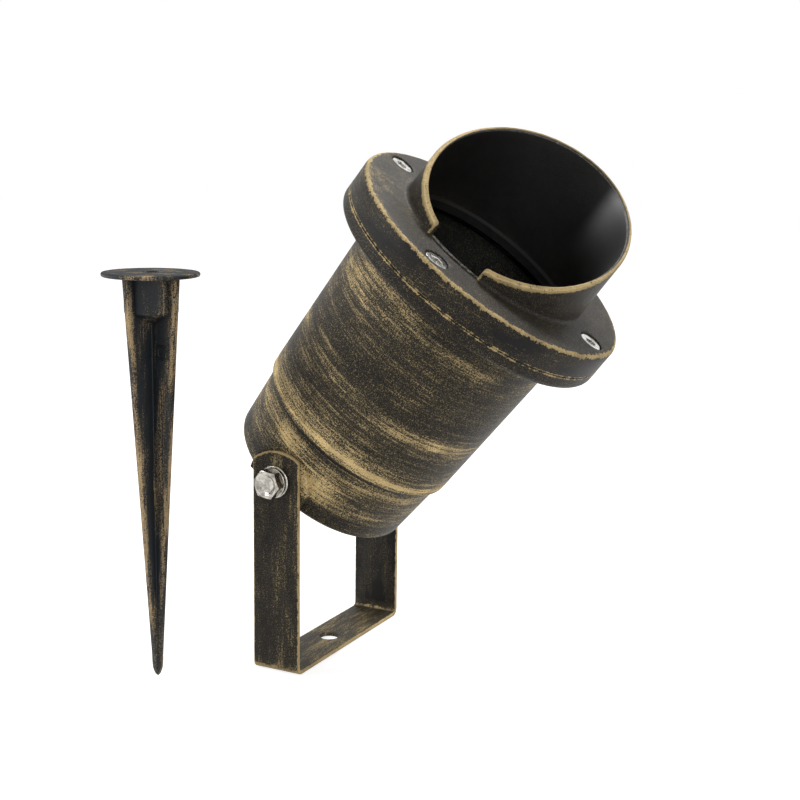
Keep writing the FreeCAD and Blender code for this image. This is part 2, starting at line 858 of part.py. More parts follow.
def build_spike():
    top = spike_disc_underside
    rib = spike_rib()
    crossing = rib.copy()
    crossing.rotate(ORIGIN, UP, 90)
    ribs = rib.fuse(crossing).common(spike_point_limit()).cut(ejector_marks())
    ribs.rotate(ORIGIN, UP, 45)
    around_hole = spike_boss_diameter / 2
    boss_low = top - spike_boss_height
    boss = turned([
        (0, boss_low - spike_boss_cone),
        (around_hole, boss_low),
        (around_hole, top),
        (0, top),
    ])
    disc = turned([
        (0, top),
        (spike_disc_diameter / 2, top, spike_disc_round),
        (spike_disc_diameter / 2, spike_length, spike_disc_round),
        (0, spike_length),
    ])
    hole = cylinder(spike_thread_diameter / 2, spike_length - spike_thread_depth,
                    spike_length + overcut)
    spike = ribs.fuse([boss, disc]).cut(hole)
    spike.rotate(ORIGIN, UP, spike_turn)
    spike.translate(vec(*spike_place, 0))
    return spike


def build_lampholder_screws():
    seat = holder_face_station - holder_screw_sink
    return [aimed(small_screw(m3, holder_height, seat, x, y)) for x, y in holder_screw_places()]


def build_stand_screws():
    seat = stand_foot_station + stand_thickness
    return [aimed(small_screw(m4, floor_screw_length, seat, side * stand_screw_place, 0))
            for side in (-1, 1)]


def build_earth_screw():
    return aimed(small_screw(m4, floor_screw_length, stand_foot_station + tag_thickness,
                             0, earth_place))


def build_block_screw():
    length = block_height + block_screw_depth - block_screw_spare
    return aimed(small_screw(m3, length, block_top_station, pole_pitch / 2, block_middle))


def build_parts():
    both = (-1, 1)
    group = Part.makeCompound
    cap_screw_places = around(cap_screw_count, cap_screw_circle)
    return {
        "spike": build_spike(),
        "bracket": build_bracket(),
        "flat_washers": group([flat_washer(side) for side in both]),
        "spring_washers": group([spring_washer(side) for side in both]),
        "pivot_bolts": group([pivot_bolt(side) for side in both]),
        "housing": build_housing(),
        "front_cap": build_front_cap(),
        "cap_screws": group([cap_screw(x, y) for x, y in cap_screw_places]),
        "lens_glass": build_lens(),
        "lens_gasket": build_lens_gasket(),
        "lampholder": build_lampholder(),
        "lampholder_contacts": group([contact(side) for side in both]),
        "lampholder_screws": group(build_lampholder_screws()),
        "lampholder_stand": build_stand(),
        "stand_screws": group(build_stand_screws()),
        "terminal_block": build_terminal_block(),
        "terminal_screws": group(terminal_screws()),
        "block_screw": build_block_screw(),
        "earth_tag": build_earth_tag(),
        "earth_screw": build_earth_screw(),
        "live_wire": lead(-pole_pitch, -pin_spacing / 2),
        "neutral_wire": lead(pole_pitch, pin_spacing / 2),
        "earth_wire": earth_lead(),
        "gland_body": build_gland_body(),
        "gland_nut": build_gland_nut(),
        "gland_seal": build_gland_seal(),
        "gland_gasket": build_gland_gasket(),
        "gland_locknut": build_gland_locknut(),
    }


def main():
    os.makedirs("parts", exist_ok=True)
    for name, shape in build_parts().items():
        shape.exportStep("parts/" + name + ".step")
        bounds = shape.BoundBox
        print(name, "solids", len(shape.Solids), "valid", shape.isValid(),
              "volume", round(shape.Volume, 1),
              "box", [round(v, 1) for v in (bounds.XMin, bounds.YMin, bounds.ZMin,
                                            bounds.XMax, bounds.YMax, bounds.ZMax)])


main()
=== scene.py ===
"""Garden spike spotlight: the modelled surfaces and the aged finish of each piece.

Lengths are in metres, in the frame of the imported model: +Z up, +Y along the tilt axis, and the
lamp aims towards +X. Shader groups measure in millimetres.
"""

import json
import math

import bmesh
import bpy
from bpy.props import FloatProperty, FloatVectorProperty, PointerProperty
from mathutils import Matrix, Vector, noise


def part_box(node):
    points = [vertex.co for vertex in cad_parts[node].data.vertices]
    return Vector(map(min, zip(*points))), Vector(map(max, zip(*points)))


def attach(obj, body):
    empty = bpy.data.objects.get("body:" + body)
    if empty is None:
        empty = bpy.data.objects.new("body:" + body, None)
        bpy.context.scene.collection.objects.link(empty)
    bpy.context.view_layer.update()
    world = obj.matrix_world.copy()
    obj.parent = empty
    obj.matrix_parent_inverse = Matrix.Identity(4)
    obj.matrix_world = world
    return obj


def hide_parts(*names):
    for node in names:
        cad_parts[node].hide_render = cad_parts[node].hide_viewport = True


bl_info = {
    "name": "Garden Spike Spotlight",
    "version": (1, 0, 0),
    "blender": (4, 5, 0),
    "location": "3D View > Sidebar > Spotlight",
    "description": "Models and finishes the pieces of a garden spike spotlight round its frame",
    "category": "Object",
}

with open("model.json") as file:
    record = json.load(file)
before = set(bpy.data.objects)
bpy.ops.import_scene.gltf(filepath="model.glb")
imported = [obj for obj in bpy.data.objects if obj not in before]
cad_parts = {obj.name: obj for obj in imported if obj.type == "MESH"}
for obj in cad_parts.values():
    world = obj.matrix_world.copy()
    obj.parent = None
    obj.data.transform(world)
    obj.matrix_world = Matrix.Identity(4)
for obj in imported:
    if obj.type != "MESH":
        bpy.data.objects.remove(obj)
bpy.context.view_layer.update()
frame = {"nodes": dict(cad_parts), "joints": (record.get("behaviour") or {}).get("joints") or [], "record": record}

MM = 0.001
MOUNTS = {mount["name"]: mount for mount in frame["record"]["mounts"]}
JOINTS = {joint["name"]: joint for joint in frame["joints"]}


# ---- the head's own frame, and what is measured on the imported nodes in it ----

PIVOT = Vector(JOINTS["tilt"]["pos_m"])
AIM = Vector(MOUNTS["lamp_socket"]["axis"]).normalized()
TILT_AXIS = Vector(JOINTS["tilt"]["axis"]).normalized()
HEAD = Matrix((TILT_AXIS.cross(AIM), TILT_AXIS, AIM)).transposed().to_4x4()
HEAD.translation = PIVOT


def in_head_frame(node):
    """A node's vertices as (distance from the aim axis, station along it)."""
    inverse = HEAD.inverted()
    places = [inverse @ vertex.co for vertex in frame["nodes"][node].data.vertices]
    return [(math.hypot(place.x, place.y), place.z) for place in places]


def station_range(node, inner=0.0, outer=1.0):
    """Lowest and highest station of a node's vertices between two distances from the axis."""
    stations = [station for radius, station in in_head_frame(node) if inner <= radius <= outer]
    return min(stations), max(stations)


def largest_radius(node, low=-1.0, high=1.0):
    return max(radius for radius, station in in_head_frame(node) if low <= station <= high)


PARTING = station_range("front_cap")[0]
FLANGE_RADIUS = largest_radius("front_cap")
FACE = station_range("front_cap", FLANGE_RADIUS - 8 * MM)[1]
LENS_RADIUS = largest_radius("lens_glass")
LENS_FRONT = station_range("lens_glass")[1]
SCREW_TOP = station_range("cap_screws")[1]
SCREW_CIRCLE = (largest_radius("cap_screws") + min(r for r, s in in_head_frame("cap_screws"))) / 2
BARREL_FRONT = station_range("housing", FLANGE_RADIUS - 3 * MM)[0]
SPIKE_PLACE = Vector(MOUNTS["spike_threaded_hole"]["pos_m"])
SPIKE_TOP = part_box("spike")[1].z
BRACKET_LOW, BRACKET_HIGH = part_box("bracket")


# ---- sizes and colours that a user may change ----

def length(label, note, value):
    return FloatProperty(name=label, description=note, default=value * MM, min=0.0,
                         unit="LENGTH", subtype="DISTANCE", precision=5)


def colour(label, note, value):
    return FloatVectorProperty(name=label, description=note, default=value, size=3,
                               min=0.0, max=1.0, subtype="COLOR")


class SpotlightSizes(bpy.types.PropertyGroup):
    """Sizes of the modelled surfaces."""
    hood_radius: length("Hood radius", "Outside of the glare hood at the flange", 39.5)
    hood_wall: length("Hood wall", "Thickness of the glare hood", 2.0)
    hood_low: length("Hood low side", "Height of the slanted rim at its low side", 3.5)
    hood_high: length("Hood high side", "Height of the slanted rim at its high side", 40.6)
    hood_root: length("Hood root", "Rounding between the hood and the flange", 1.5)
    rim_round: length("Rim rounding", "Rounding of the hood's rim", 0.6)
    notch_width: length("Notch width", "Gap in the low side of the hood", 24.0)
    notch_lip: length("Notch lip", "What is left of the hood in the notch", 0.8)
    notch_corner: length("Notch corner", "Rounding where the rim drops into the notch", 1.3)
    flange_round: length("Flange edge", "Rounding of the flange's front edge", 1.8)
    throat_radius: length("Throat radius", "Clear opening in front of the glass", 36.4)
    throat_depth: length("Throat depth", "Depth of the straight part of the throat", 3.0)
    counterbore: length("Counterbore", "Radius of each screw's counterbore", 4.7)
    counterbore_flare: length("Counterbore flare", "Worn edge of each counterbore", 0.35)
    bar_edge: length("Bar edge", "Rounding of the bracket's edges", 0.3)
    bolt_flats: length("Bolt flats", "Width across the tilt bolts' heads", 10.0)
    rib_thickness: length("Rib thickness", "Thickness of the spike's ribs", 2.6)
    rib_edge: length("Rib edge", "Rounding along the spike's ribs", 0.55)
    rib_root: length("Rib root", "Rounding where the ribs cross", 0.4)


class SpotlightColours(bpy.types.PropertyGroup):
    """Colours of the finishes."""
    coat: colour("Coat", "Black coat on the metal", (0.0090, 0.0082, 0.0078))
    coat_haze: colour("Coat haze", "Thin film of gold in the coat", (0.080, 0.072, 0.051))
    gold: colour("Antique gold", "Gold brushed over the coat", (0.800, 0.600, 0.290))
    spike: colour("Spike", "Blue-black plastic of the ground spike", (0.0040, 0.0070, 0.0100))
    spike_haze: colour("Spike haze", "Thin film of ochre on the spike", (0.040, 0.043, 0.040))
    ochre: colour("Ochre", "Ochre brushed over the spike", (0.480, 0.345, 0.185))
    steel: colour("Stainless steel", "Tilt bolts and washers", (0.56, 0.53, 0.475))
    screw: colour("Screw steel", "Socket screws of the front cap", (0.86, 0.84, 0.80))
    zinc: colour("Zinc plate", "Screws and stand inside the head", (0.56, 0.57, 0.58))
    brass: colour("Brass", "Contacts and earth tag", (0.62, 0.42, 0.15))
    glass: colour("Glass", "Toughened front glass", (0.86, 0.93, 0.91))
    rubber: colour("Rubber", "Gaskets and cable seal", (0.012, 0.012, 0.012))
    ceramic: colour("Ceramic", "Glazed lampholder", (0.78, 0.74, 0.65))
    block: colour("Terminal block", "Off-white moulded block", (0.72, 0.70, 0.64))
    live: colour("Live wire", "Brown insulation", (0.140, 0.045, 0.016))
    neutral: colour("Neutral wire", "Blue insulation", (0.020, 0.090, 0.380))
    earth: colour("Earth wire", "Green insulation", (0.055, 0.280, 0.030))
    earth_stripe: colour("Earth stripe", "Yellow stripe on the earth wire", (0.680, 0.520, 0.030))
    gland: colour("Gland", "Black moulded cable gland", (0.014, 0.014, 0.014))


# ---- mesh helpers ----

def arc_points(centre, radius, start, end, count):
    """Points on an arc in the (radius, height) plane, from one angle to another in degrees."""
    for index in range(count + 1):
        angle = math.radians(start + (end - start) * index / count)
        yield centre[0] + radius * math.cos(angle), centre[1] + radius * math.sin(angle)


def even_angles(count):
    return [2 * math.pi * index / count for index in range(count)]


def turned_rings(outline, angles):
    """Rings about the Z axis for an outline of (radius, height), bottom first. Radius 0 is a pole."""
    rings = []
    for radius, height in outline:
        if radius == 0:
            rings.append([Vector((0, 0, height))])
        else:
            rings.append([Vector((radius * math.cos(angle), radius * math.sin(angle), height))
                          for angle in angles])
    return rings


def skin(rings, closed=False):
    """Points and faces of the surface through rings of points. A ring of one point is a pole."""
    points = []
    starts = []
    for ring in rings:
        starts.append(len(points))
        points.extend(ring)
    pairs = [(index, index + 1) for index in range(len(rings) - 1)]
    if closed:
        pairs.append((len(rings) - 1, 0))
    faces = []
    for low, high in pairs:
        count = max(len(rings[low]), len(rings[high]))
        for index in range(count):
            after = (index + 1) % count
            corners = []
            for ring, place in ((low, index), (low, after), (high, after), (high, index)):
                corner = starts[ring] + (place if len(rings[ring]) > 1 else 0)
                if corner not in corners:
                    corners.append(corner)
            faces.append(corners)
    return points, faces


def make_object(name, shells, smooth_angle=40.0):
    """Object from shells of (points, faces, matrix), smooth but for edges over an angle."""
    mesh = bpy.data.meshes.new(name)
    points = []
    faces = []
    for shell_points, shell_faces, matrix in shells:
        start = len(points)
        points.extend(matrix @ point for point in shell_points)
        faces.extend([start + corner for corner in face] for face in shell_faces)
    mesh.from_pydata(points, [], faces)
    work = bmesh.new()
    work.from_mesh(mesh)
    bmesh.ops.recalc_face_normals(work, faces=work.faces)
    work.to_mesh(mesh)
    work.free()
    shade(mesh, smooth_angle)
    made = bpy.data.objects.new(name, mesh)
    bpy.context.scene.collection.objects.link(made)
    return made


def shade(mesh, smooth_angle):
    mesh.shade_smooth()
    mesh.set_sharp_from_angle(angle=math.radians(smooth_angle))


def apply_boolean(piece, tools, operation):
    """Cut tools from a piece, or join them to it, and delete them."""
    for tool in tools:
        modifier = piece.modifiers.new(operation.lower(), "BOOLEAN")
        modifier.operation = operation
        modifier.solver = "EXACT"
        modifier.object = tool
    bpy.context.view_layer.update()
    evaluated = piece.evaluated_get(bpy.context.evaluated_depsgraph_get())
    mesh = bpy.data.meshes.new_from_object(evaluated)
    old = piece.data
    piece.modifiers.clear()
    piece.data = mesh
    bpy.data.meshes.remove(old)
    for tool in tools:
        bpy.data.objects.remove(tool)


def softened(name, node, width, sharp_angle=35.0, segments=3):
    """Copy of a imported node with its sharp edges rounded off."""
    work = bmesh.new()
    work.from_mesh(frame["nodes"][node].data)
    bmesh.ops.remove_doubles(work, verts=work.verts, dist=0.002 * MM)
    bmesh.ops.dissolve_limit(work, angle_limit=math.radians(0.4), verts=work.verts,
                             edges=work.edges)
    sharp = [edge for edge in work.edges
             if len(edge.link_faces) == 2
             and edge.calc_face_angle(0.0) > math.radians(sharp_angle)]
    bmesh.ops.bevel(work, geom=sharp, offset=width, segments=segments, profile=0.5,
                    affect="EDGES", clamp_overlap=True)
    bmesh.ops.recalc_face_normals(work, faces=work.faces)
    mesh = bpy.data.meshes.new(name)
    work.to_mesh(mesh)
    work.free()
    shade(mesh, 30.0)
    made = bpy.data.objects.new(name, mesh)
    bpy.context.scene.collection.objects.link(made)
    return made


def place_piece(piece, body, nodes, material):
    """Seat a modelled piece in the frame: its body, the nodes it stands for, and its finish."""
    piece.data.materials.clear()
    piece.data.materials.append(material)
    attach(piece, body)
    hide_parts(*nodes)


def finish_node(node, material):
    """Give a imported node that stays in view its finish."""
    target = frame["nodes"][node]
    target.data.materials.clear()
    target.data.materials.append(material)


# ---- shader helpers ----

class Graph:
    """Adds nodes to a tree and joins them, so that a formula reads as one."""

    def __init__(self, tree):
        self.tree = tree

    def add(self, kind, **settings):
        node = self.tree.nodes.new(kind)
        for name, value in settings.items():
            setattr(node, name, value)
        return node

    def feed(self, socket, value):
        if isinstance(value, bpy.types.NodeSocket):
            self.tree.links.new(value, socket)
        else:
            socket.default_value = value

    def math(self, operation, *values, clamp=False):
        node = self.add("ShaderNodeMath", operation=operation, use_clamp=clamp)
        for socket, value in zip(node.inputs, values):
            self.feed(socket, value)
        return node.outputs[0]

    def vector(self, operation, *values):
        node = self.add("ShaderNodeVectorMath", operation=operation)
        for socket, value in zip(node.inputs, values):
            self.feed(socket, value)
        return node.outputs["Value" if operation in ("LENGTH", "DOT_PRODUCT") else "Vector"]

    def split(self, vector):
        node = self.add("ShaderNodeSeparateXYZ")
        self.feed(node.inputs[0], vector)
        return node.outputs[0], node.outputs[1], node.outputs[2]

    def join(self, x, y, z):
        node = self.add("ShaderNodeCombineXYZ")
        for socket, value in zip(node.inputs, (x, y, z)):
            self.feed(socket, value)
        return node.outputs[0]

    def ramp(self, value, low, high, start=0.0, end=1.0):
        """Smooth step of a value from start at low to end at high."""
        node = self.add("ShaderNodeMapRange", interpolation_type="SMOOTHSTEP")
        for name, entry in (("Value", value), ("From Min", low), ("From Max", high),
                            ("To Min", start), ("To Max", end)):
            self.feed(node.inputs[name], entry)
        return node.outputs["Result"]

    def noise(self, vector, scale, detail=2.0, roughness=0.5, distortion=0.0):
        node = self.add("ShaderNodeTexNoise", noise_dimensions="3D")
        for name, entry in (("Vector", vector), ("Scale", scale), ("Detail", detail),
                            ("Roughness", roughness), ("Distortion", distortion)):
            self.feed(node.inputs[name], entry)
        return node.outputs["Fac"]

    def mix(self, factor, first, second):
        node = self.add("ShaderNodeMix", data_type="RGBA")
        for socket, value in ((node.inputs[0], factor), (node.inputs[6], first),
                              (node.inputs[7], second)):
            self.feed(socket, value)
        return node.outputs[2]

    def group(self, tree, **values):
        """Place a shader group, with its named inputs given in lower case."""
        node = self.add("ShaderNodeGroup", node_tree=tree)
        for name, value in values.items():
            self.feed(node.inputs[name.replace("_", " ").title()], value)
        return node.outputs

    def own_place(self):
        """Place on the surface in the piece's own frame, in millimetres."""
        source = self.add("ShaderNodeTexCoord").outputs["Object"]
        scaled = self.add("ShaderNodeVectorMath", operation="SCALE")
        self.feed(scaled.inputs[0], source)
        self.feed(scaled.inputs["Scale"], 1 / MM)
        return scaled.outputs[0]

    def head_place(self):
        """Place on the surface in the head's frame, in millimetres."""
        mapping = self.add("ShaderNodeMapping", vector_type="TEXTURE")
        self.feed(mapping.inputs["Vector"], self.add("ShaderNodeTexCoord").outputs["Object"])
        self.feed(mapping.inputs["Location"], PIVOT)
        self.feed(mapping.inputs["Rotation"], HEAD.to_euler())
        self.feed(mapping.inputs["Scale"], (MM, MM, MM))
        return mapping.outputs[0]


def new_group(name, inputs, outputs):
    """Empty shader group with named sockets, and the outputs of its input node by name."""
    tree = bpy.data.node_groups.new(name, "ShaderNodeTree")
    kinds = {"value": "NodeSocketFloat", "vector": "NodeSocketVector", "colour": "NodeSocketColor"}
    for label, kind in inputs.items():
        tree.interface.new_socket(name=label, in_out="INPUT", socket_type=kinds[kind])
    for label, kind in outputs.items():
        tree.interface.new_socket(name=label, in_out="OUTPUT", socket_type=kinds[kind])
    graph = Graph(tree)
    return graph, graph.add("NodeGroupInput").outputs, graph.add("NodeGroupOutput").inputs


def stored_group(name, build):
    return bpy.data.node_groups.get(name) or build(name)


def brush_group(name):
    """Paint brushed over a rough surface: long broken strokes that catch its high points."""
    graph, given, wanted = new_group(
        name,
        {"Stroke Place": "vector", "Grain Place": "vector", "Coverage": "value",
         "Softness": "value"},
        {"Paint": "value", "Height": "value"})
    stroke = graph.noise(given["Stroke Place"], 1.0, 2.0, 0.6)
    hair = graph.noise(given["Stroke Place"], 3.6, 2.0, 0.6)
    grain = graph.noise(given["Grain Place"], 2.2, 2.0, 0.7)
    level = graph.math("MULTIPLY_ADD", stroke, 0.26, graph.math("MULTIPLY", hair, 0.24))
    level = graph.math("MULTIPLY_ADD", grain, 0.50, level)
    threshold = graph.math("MULTIPLY_ADD", given["Coverage"], -0.26, 0.63)
    low = graph.math("SUBTRACT", threshold, given["Softness"])
    high = graph.math("ADD", threshold, given["Softness"])
    fullness = graph.ramp(given["Coverage"], 0.08, 0.66, 0.36, 1.0)
    graph.feed(wanted["Paint"], graph.math("MULTIPLY", graph.ramp(level, low, high), fullness))
    graph.feed(wanted["Height"], level)
    return graph.tree


def band_group(name):
    """Ragged band along an edge, from the distance to that edge in millimetres."""
    graph, given, wanted = new_group(
        name,
        {"Distance": "value", "Width": "value", "Raggedness": "value", "Place": "vector"},
        {"Band": "value"})
    coarse = graph.noise(given["Place"], 0.45, 2.0, 0.5)
    fine = graph.noise(given["Place"], 2.0, 2.0, 0.65)
    rough = graph.math("MULTIPLY_ADD", coarse, 4.0, graph.math("MULTIPLY", fine, 4.0))
    rough = graph.math("SUBTRACT", rough, 4.0)
    reach = graph.math("MULTIPLY_ADD", rough, given["Raggedness"], given["Distance"])
    inner = graph.math("MULTIPLY", given["Width"], 0.7)
    band = graph.ramp(reach, inner, given["Width"], 1.0, 0.0)
    chips = graph.ramp(graph.noise(given["Place"], 1.3, 3.0, 0.6), 0.60, 0.66, 1.0, 0.15)
    graph.feed(wanted["Band"], graph.math("MULTIPLY", band, chips))
    return graph.tree


def coat_group(name):
    """Rough black coat with gold over it: colour, roughness, metal and height."""
    graph, given, wanted = new_group(
        name,
        {"Place": "vector", "Gold": "value", "Haze": "value", "Relief": "value",
         "Coat Colour": "colour", "Haze Colour": "colour", "Gold Colour": "colour"},
        {"Colour": "colour", "Roughness": "value", "Metal": "value", "Height": "value"})
    speck = graph.noise(given["Place"], 2.6, 2.0, 0.65)
    cloud = graph.noise(given["Place"], 0.12, 3.0, 0.55)
    film = graph.math("MULTIPLY", given["Haze"], graph.ramp(speck, 0.40, 0.64, 0.25, 1.0),
                      clamp=True)
    base = graph.mix(film, given["Coat Colour"], given["Haze Colour"])
    dots = graph.ramp(graph.noise(given["Place"], 3.4, 1.0, 0.5), 0.59, 0.70, 0.0, 0.38)
    dots = graph.math("MULTIPLY", dots, graph.ramp(given["Haze"], 0.0, 0.08))
    base = graph.mix(dots, base, given["Gold Colour"])
    worn = graph.mix(given["Gold"], base, given["Gold Colour"])
    level = graph.math("MULTIPLY", graph.ramp(cloud, 0.3, 0.7, 0.78, 1.12),
                       graph.ramp(speck, 0.30, 0.70, 0.80, 1.18))
    graph.feed(wanted["Colour"], graph.vector("MULTIPLY", worn, graph.join(level, level, level)))
    rough = graph.ramp(given["Gold"], 0.0, 1.0, 0.40, 0.52)
    graph.feed(wanted["Roughness"], graph.math("MULTIPLY_ADD", speck, 0.18, rough))
    graph.feed(wanted["Metal"], graph.math("MULTIPLY", given["Gold"], 0.18))
    height = graph.math("MULTIPLY_ADD", given["Gold"], 0.35, graph.math("MULTIPLY", speck, 0.8))
    graph.feed(wanted["Height"], graph.math("MULTIPLY_ADD", given["Relief"], 0.9, height))
    return graph.tree


def scratch_group(name):
    """Fine scratches and dull spots on bare metal."""
    graph, given, wanted = new_group(
        name, {"Place": "vector", "Dullness": "value"},
        {"Roughness": "value", "Height": "value", "Tone": "value"})
    across = graph.vector("MULTIPLY", given["Place"], (9.0, 0.8, 1.6))
    along = graph.vector("MULTIPLY", given["Place"], (1.1, 7.0, 8.0))
    lines = graph.math("MAXIMUM", graph.noise(across, 1.0, 2.0), graph.noise(along, 1.0, 2.0))
    spots = graph.noise(given["Place"], 0.8, 3.0, 0.6)
    rough = graph.math("MULTIPLY_ADD", graph.ramp(spots, 0.45, 0.75), 0.18, given["Dullness"])
    graph.feed(wanted["Roughness"], graph.math("MULTIPLY_ADD", lines, 0.12, rough))
    graph.feed(wanted["Height"], lines)
    patches = graph.noise(given["Place"], 0.55, 2.0, 0.5)
    tone = graph.math("MULTIPLY", graph.ramp(spots, 0.3, 0.8, 1.0, 0.72),
                      graph.ramp(patches, 0.38, 0.60, 0.58, 1.0))
    graph.feed(wanted["Tone"], tone)
    return graph.tree


def moulded_group(name):
    """Skin of a moulded, pressed or fired piece: fine grain and soft clouds."""
    graph, given, wanted = new_group(
        name, {"Place": "vector", "Base": "colour", "Dull": "value", "Grain": "value"},
        {"Colour": "colour", "Roughness": "value", "Height": "value"})
    grain = graph.noise(given["Place"], given["Grain"], 2.0, 0.6)
    cloud = graph.noise(given["Place"], 0.22, 3.0, 0.55)
    tone = graph.ramp(cloud, 0.3, 0.7, 0.82, 1.1)
    graph.feed(wanted["Colour"], graph.vector("MULTIPLY", given["Base"],
                                              graph.join(tone, tone, tone)))
    graph.feed(wanted["Roughness"], graph.math("MULTIPLY_ADD", grain, 0.2, given["Dull"]))
    graph.feed(wanted["Height"], grain)
    return graph.tree


def new_material(name, **constants):
    """Material with one Principled shader, whose constant values are on its own sockets."""
    material = bpy.data.materials.new(name)
    material.use_nodes = True
    material.node_tree.nodes.clear()
    graph = Graph(material.node_tree)
    shader = graph.add("ShaderNodeBsdfPrincipled")
    for label, value in constants.items():
        shader.inputs[label.replace("_", " ")].default_value = value
    output = graph.add("ShaderNodeOutputMaterial")
    graph.feed(output.inputs["Surface"], shader.outputs[0])
    return material, graph, shader.inputs


def feed_bump(graph, sockets, height, depth, strength=1.0):
    """Relief from a height, whose full range stands for a depth in metres."""
    bump = graph.add("ShaderNodeBump")
    graph.feed(bump.inputs["Height"], height)
    graph.feed(bump.inputs["Distance"], depth)
    graph.feed(bump.inputs["Strength"], strength)
    graph.feed(sockets["Normal"], bump.outputs["Normal"])


def rgba(value):
    return (*value, 1.0)


COAT_RELIEF = 0.12 * MM


def feed_coat(graph, sockets, colours, place, gold, haze, relief, shine=1.0):
    """Join the aged coat's outputs to a shader, with gold rubbed to a part of its full shine."""
    worn_gold = [shine * part for part in colours.gold]
    look = graph.group(stored_group("Aged coat", coat_group), place=place, gold=gold,
                       haze=haze, relief=relief, coat_colour=rgba(colours.coat),
                       haze_colour=rgba(colours.coat_haze), gold_colour=rgba(worn_gold))
    graph.feed(sockets["Base Color"], look["Colour"])
    graph.feed(sockets["Roughness"], look["Roughness"])
    graph.feed(sockets["Metallic"], look["Metal"])
    feed_bump(graph, sockets, look["Height"], COAT_RELIEF)


def bell(graph, value, centre, spread):
    """1 where a value is at the centre, falling to 0 at the spread."""
    offset = graph.math("ABSOLUTE", graph.math("SUBTRACT", value, centre))
    return graph.ramp(offset, 0.0, spread, 1.0, 0.0)


def strongest(graph, *masks):
    result = masks[0]
    for mask in masks[1:]:
        result = graph.math("MAXIMUM", result, mask)
    return result


# ---- finishes ----

# Bands brushed round the barrel: station and half width in mm, and how much gold each adds.
BARREL_BANDS = (
    (25.6, 2.8, 0.34),
    (29.5, 7.0, 0.14),
    (13.0, 14.0, 0.14),
    (50.0, 5.0, 0.16),
    (58.0, 20.0, -0.05),
    (86.0, 12.0, 0.06),
)
# Worn patches on the side with the tilt bolt: x and station in mm, half sizes, added gold.
BARREL_PATCHES = (
    (13.0, 9.0, 15.0, 11.0, 0.26),
    (-8.0, 15.0, 12.0, 6.0, 0.26),
    (-24.0, 28.0, 20.0, 8.0, 0.12),
    (30.0, 84.0, 16.0, 6.0, 0.20),
    (-28.0, 82.0, 18.0, 18.0, 0.15),
    (26.0, 47.0, 20.0, 5.0, 0.14),
    (8.0, 62.0, 22.0, 12.0, -0.05),
)
STEP_STATION = 22.6
REAR_STATION = -6.0
REAR_EDGE = (37.0, -5.0)
# Middle of the barrel's wall: its radius at station 0 and how much it grows, both in mm.
WALL_RADIUS = 36.8
WALL_GROWTH = 0.062


def housing_finish(colours):
    """Gold brushed in rings round the barrel, heavy at the step and on the cast edges."""
    material, graph, sockets = new_material("housing coat", IOR=1.25)
    place = graph.head_place()
    x, y, station = graph.split(place)
    strokes = graph.vector("MULTIPLY", place, (0.03, 0.03, 0.95))
    clouds = graph.noise(graph.vector("MULTIPLY", place, (0.028, 0.028, 0.12)), 1.0, 3.0)
    coverage = graph.ramp(clouds, 0.30, 0.70, 0.14, 0.36)
    for centre, spread, amount in BARREL_BANDS:
        band = bell(graph, station, centre, spread)
        coverage = graph.math("MULTIPLY_ADD", band, amount, coverage)
    facing = graph.ramp(y, -34.0, -8.0, 1.0, 0.0)
    for centre, level, half_width, half_length, amount in BARREL_PATCHES:
        patch = graph.math("MULTIPLY", bell(graph, x, centre, half_width),
                           bell(graph, station, level, half_length))
        patch = graph.math("MULTIPLY", patch, facing)
        coverage = graph.math("MULTIPLY_ADD", patch, amount, coverage)
    groove = bell(graph, station, STEP_STATION - 0.2, 1.2)
    coverage = graph.math("MULTIPLY_ADD", groove, -0.40, coverage)
    coverage = graph.math("MULTIPLY_ADD", bell(graph, station, REAR_STATION + 6.5, 4.0),
                          -0.16, coverage)
    flange = graph.ramp(station, BARREL_FRONT / MM - 1.4, BARREL_FRONT / MM + 0.4)
    coverage = graph.math("MULTIPLY_ADD", flange, -0.26, coverage)
    brush = graph.group(stored_group("Brushed paint", brush_group), stroke_place=strokes,
                        grain_place=place, coverage=coverage, softness=0.020)
    radius = graph.vector("LENGTH", graph.join(x, y, 0.0))
    bands = stored_group("Ragged band", band_group)
    seam = graph.math("ABSOLUTE", graph.math("SUBTRACT", station, PARTING / MM - 0.45))
    seam_gold = graph.group(bands, distance=seam, width=0.20, raggedness=0.38, place=place)["Band"]
    outside = graph.ramp(radius, FLANGE_RADIUS / MM - 1.5, FLANGE_RADIUS / MM - 0.8)
    seam_gold = graph.math("MULTIPLY", seam_gold, outside)
    rear = graph.vector("LENGTH", graph.join(graph.math("SUBTRACT", radius, REAR_EDGE[0]),
                                             graph.math("SUBTRACT", station, REAR_EDGE[1]), 0.0))
    rear_gold = graph.group(bands, distance=rear, width=0.7, raggedness=0.30, place=place)["Band"]
    edge_gold = graph.math("MULTIPLY", strongest(graph, seam_gold, rear_gold), 0.6)
    gold = strongest(graph, brush["Paint"], edge_gold)
    shell = outer_skin(graph, radius, station)
    gold = graph.math("MULTIPLY", gold, shell)
    haze = graph.math("MULTIPLY", graph.ramp(coverage, 0.05, 0.60, 0.05, 0.95), shell)
    haze = graph.math("MAXIMUM", haze, graph.math("MULTIPLY_ADD", shell, -0.3, 0.3))
    feed_coat(graph, sockets, colours, place, gold, haze, brush["Height"])
    return material


def outer_skin(graph, radius, station):
    """1 on the outside of the tapered barrel and 0 on its inside."""
    wall_middle = graph.math("MULTIPLY_ADD", station, WALL_GROWTH, WALL_RADIUS)
    offset = graph.math("SUBTRACT", radius, wall_middle)
    behind = graph.ramp(station, REAR_STATION + 2.0, REAR_STATION + 2.6, 1.0, 0.0)
    return graph.math("MAXIMUM", graph.ramp(offset, -0.1, 0.1), behind)


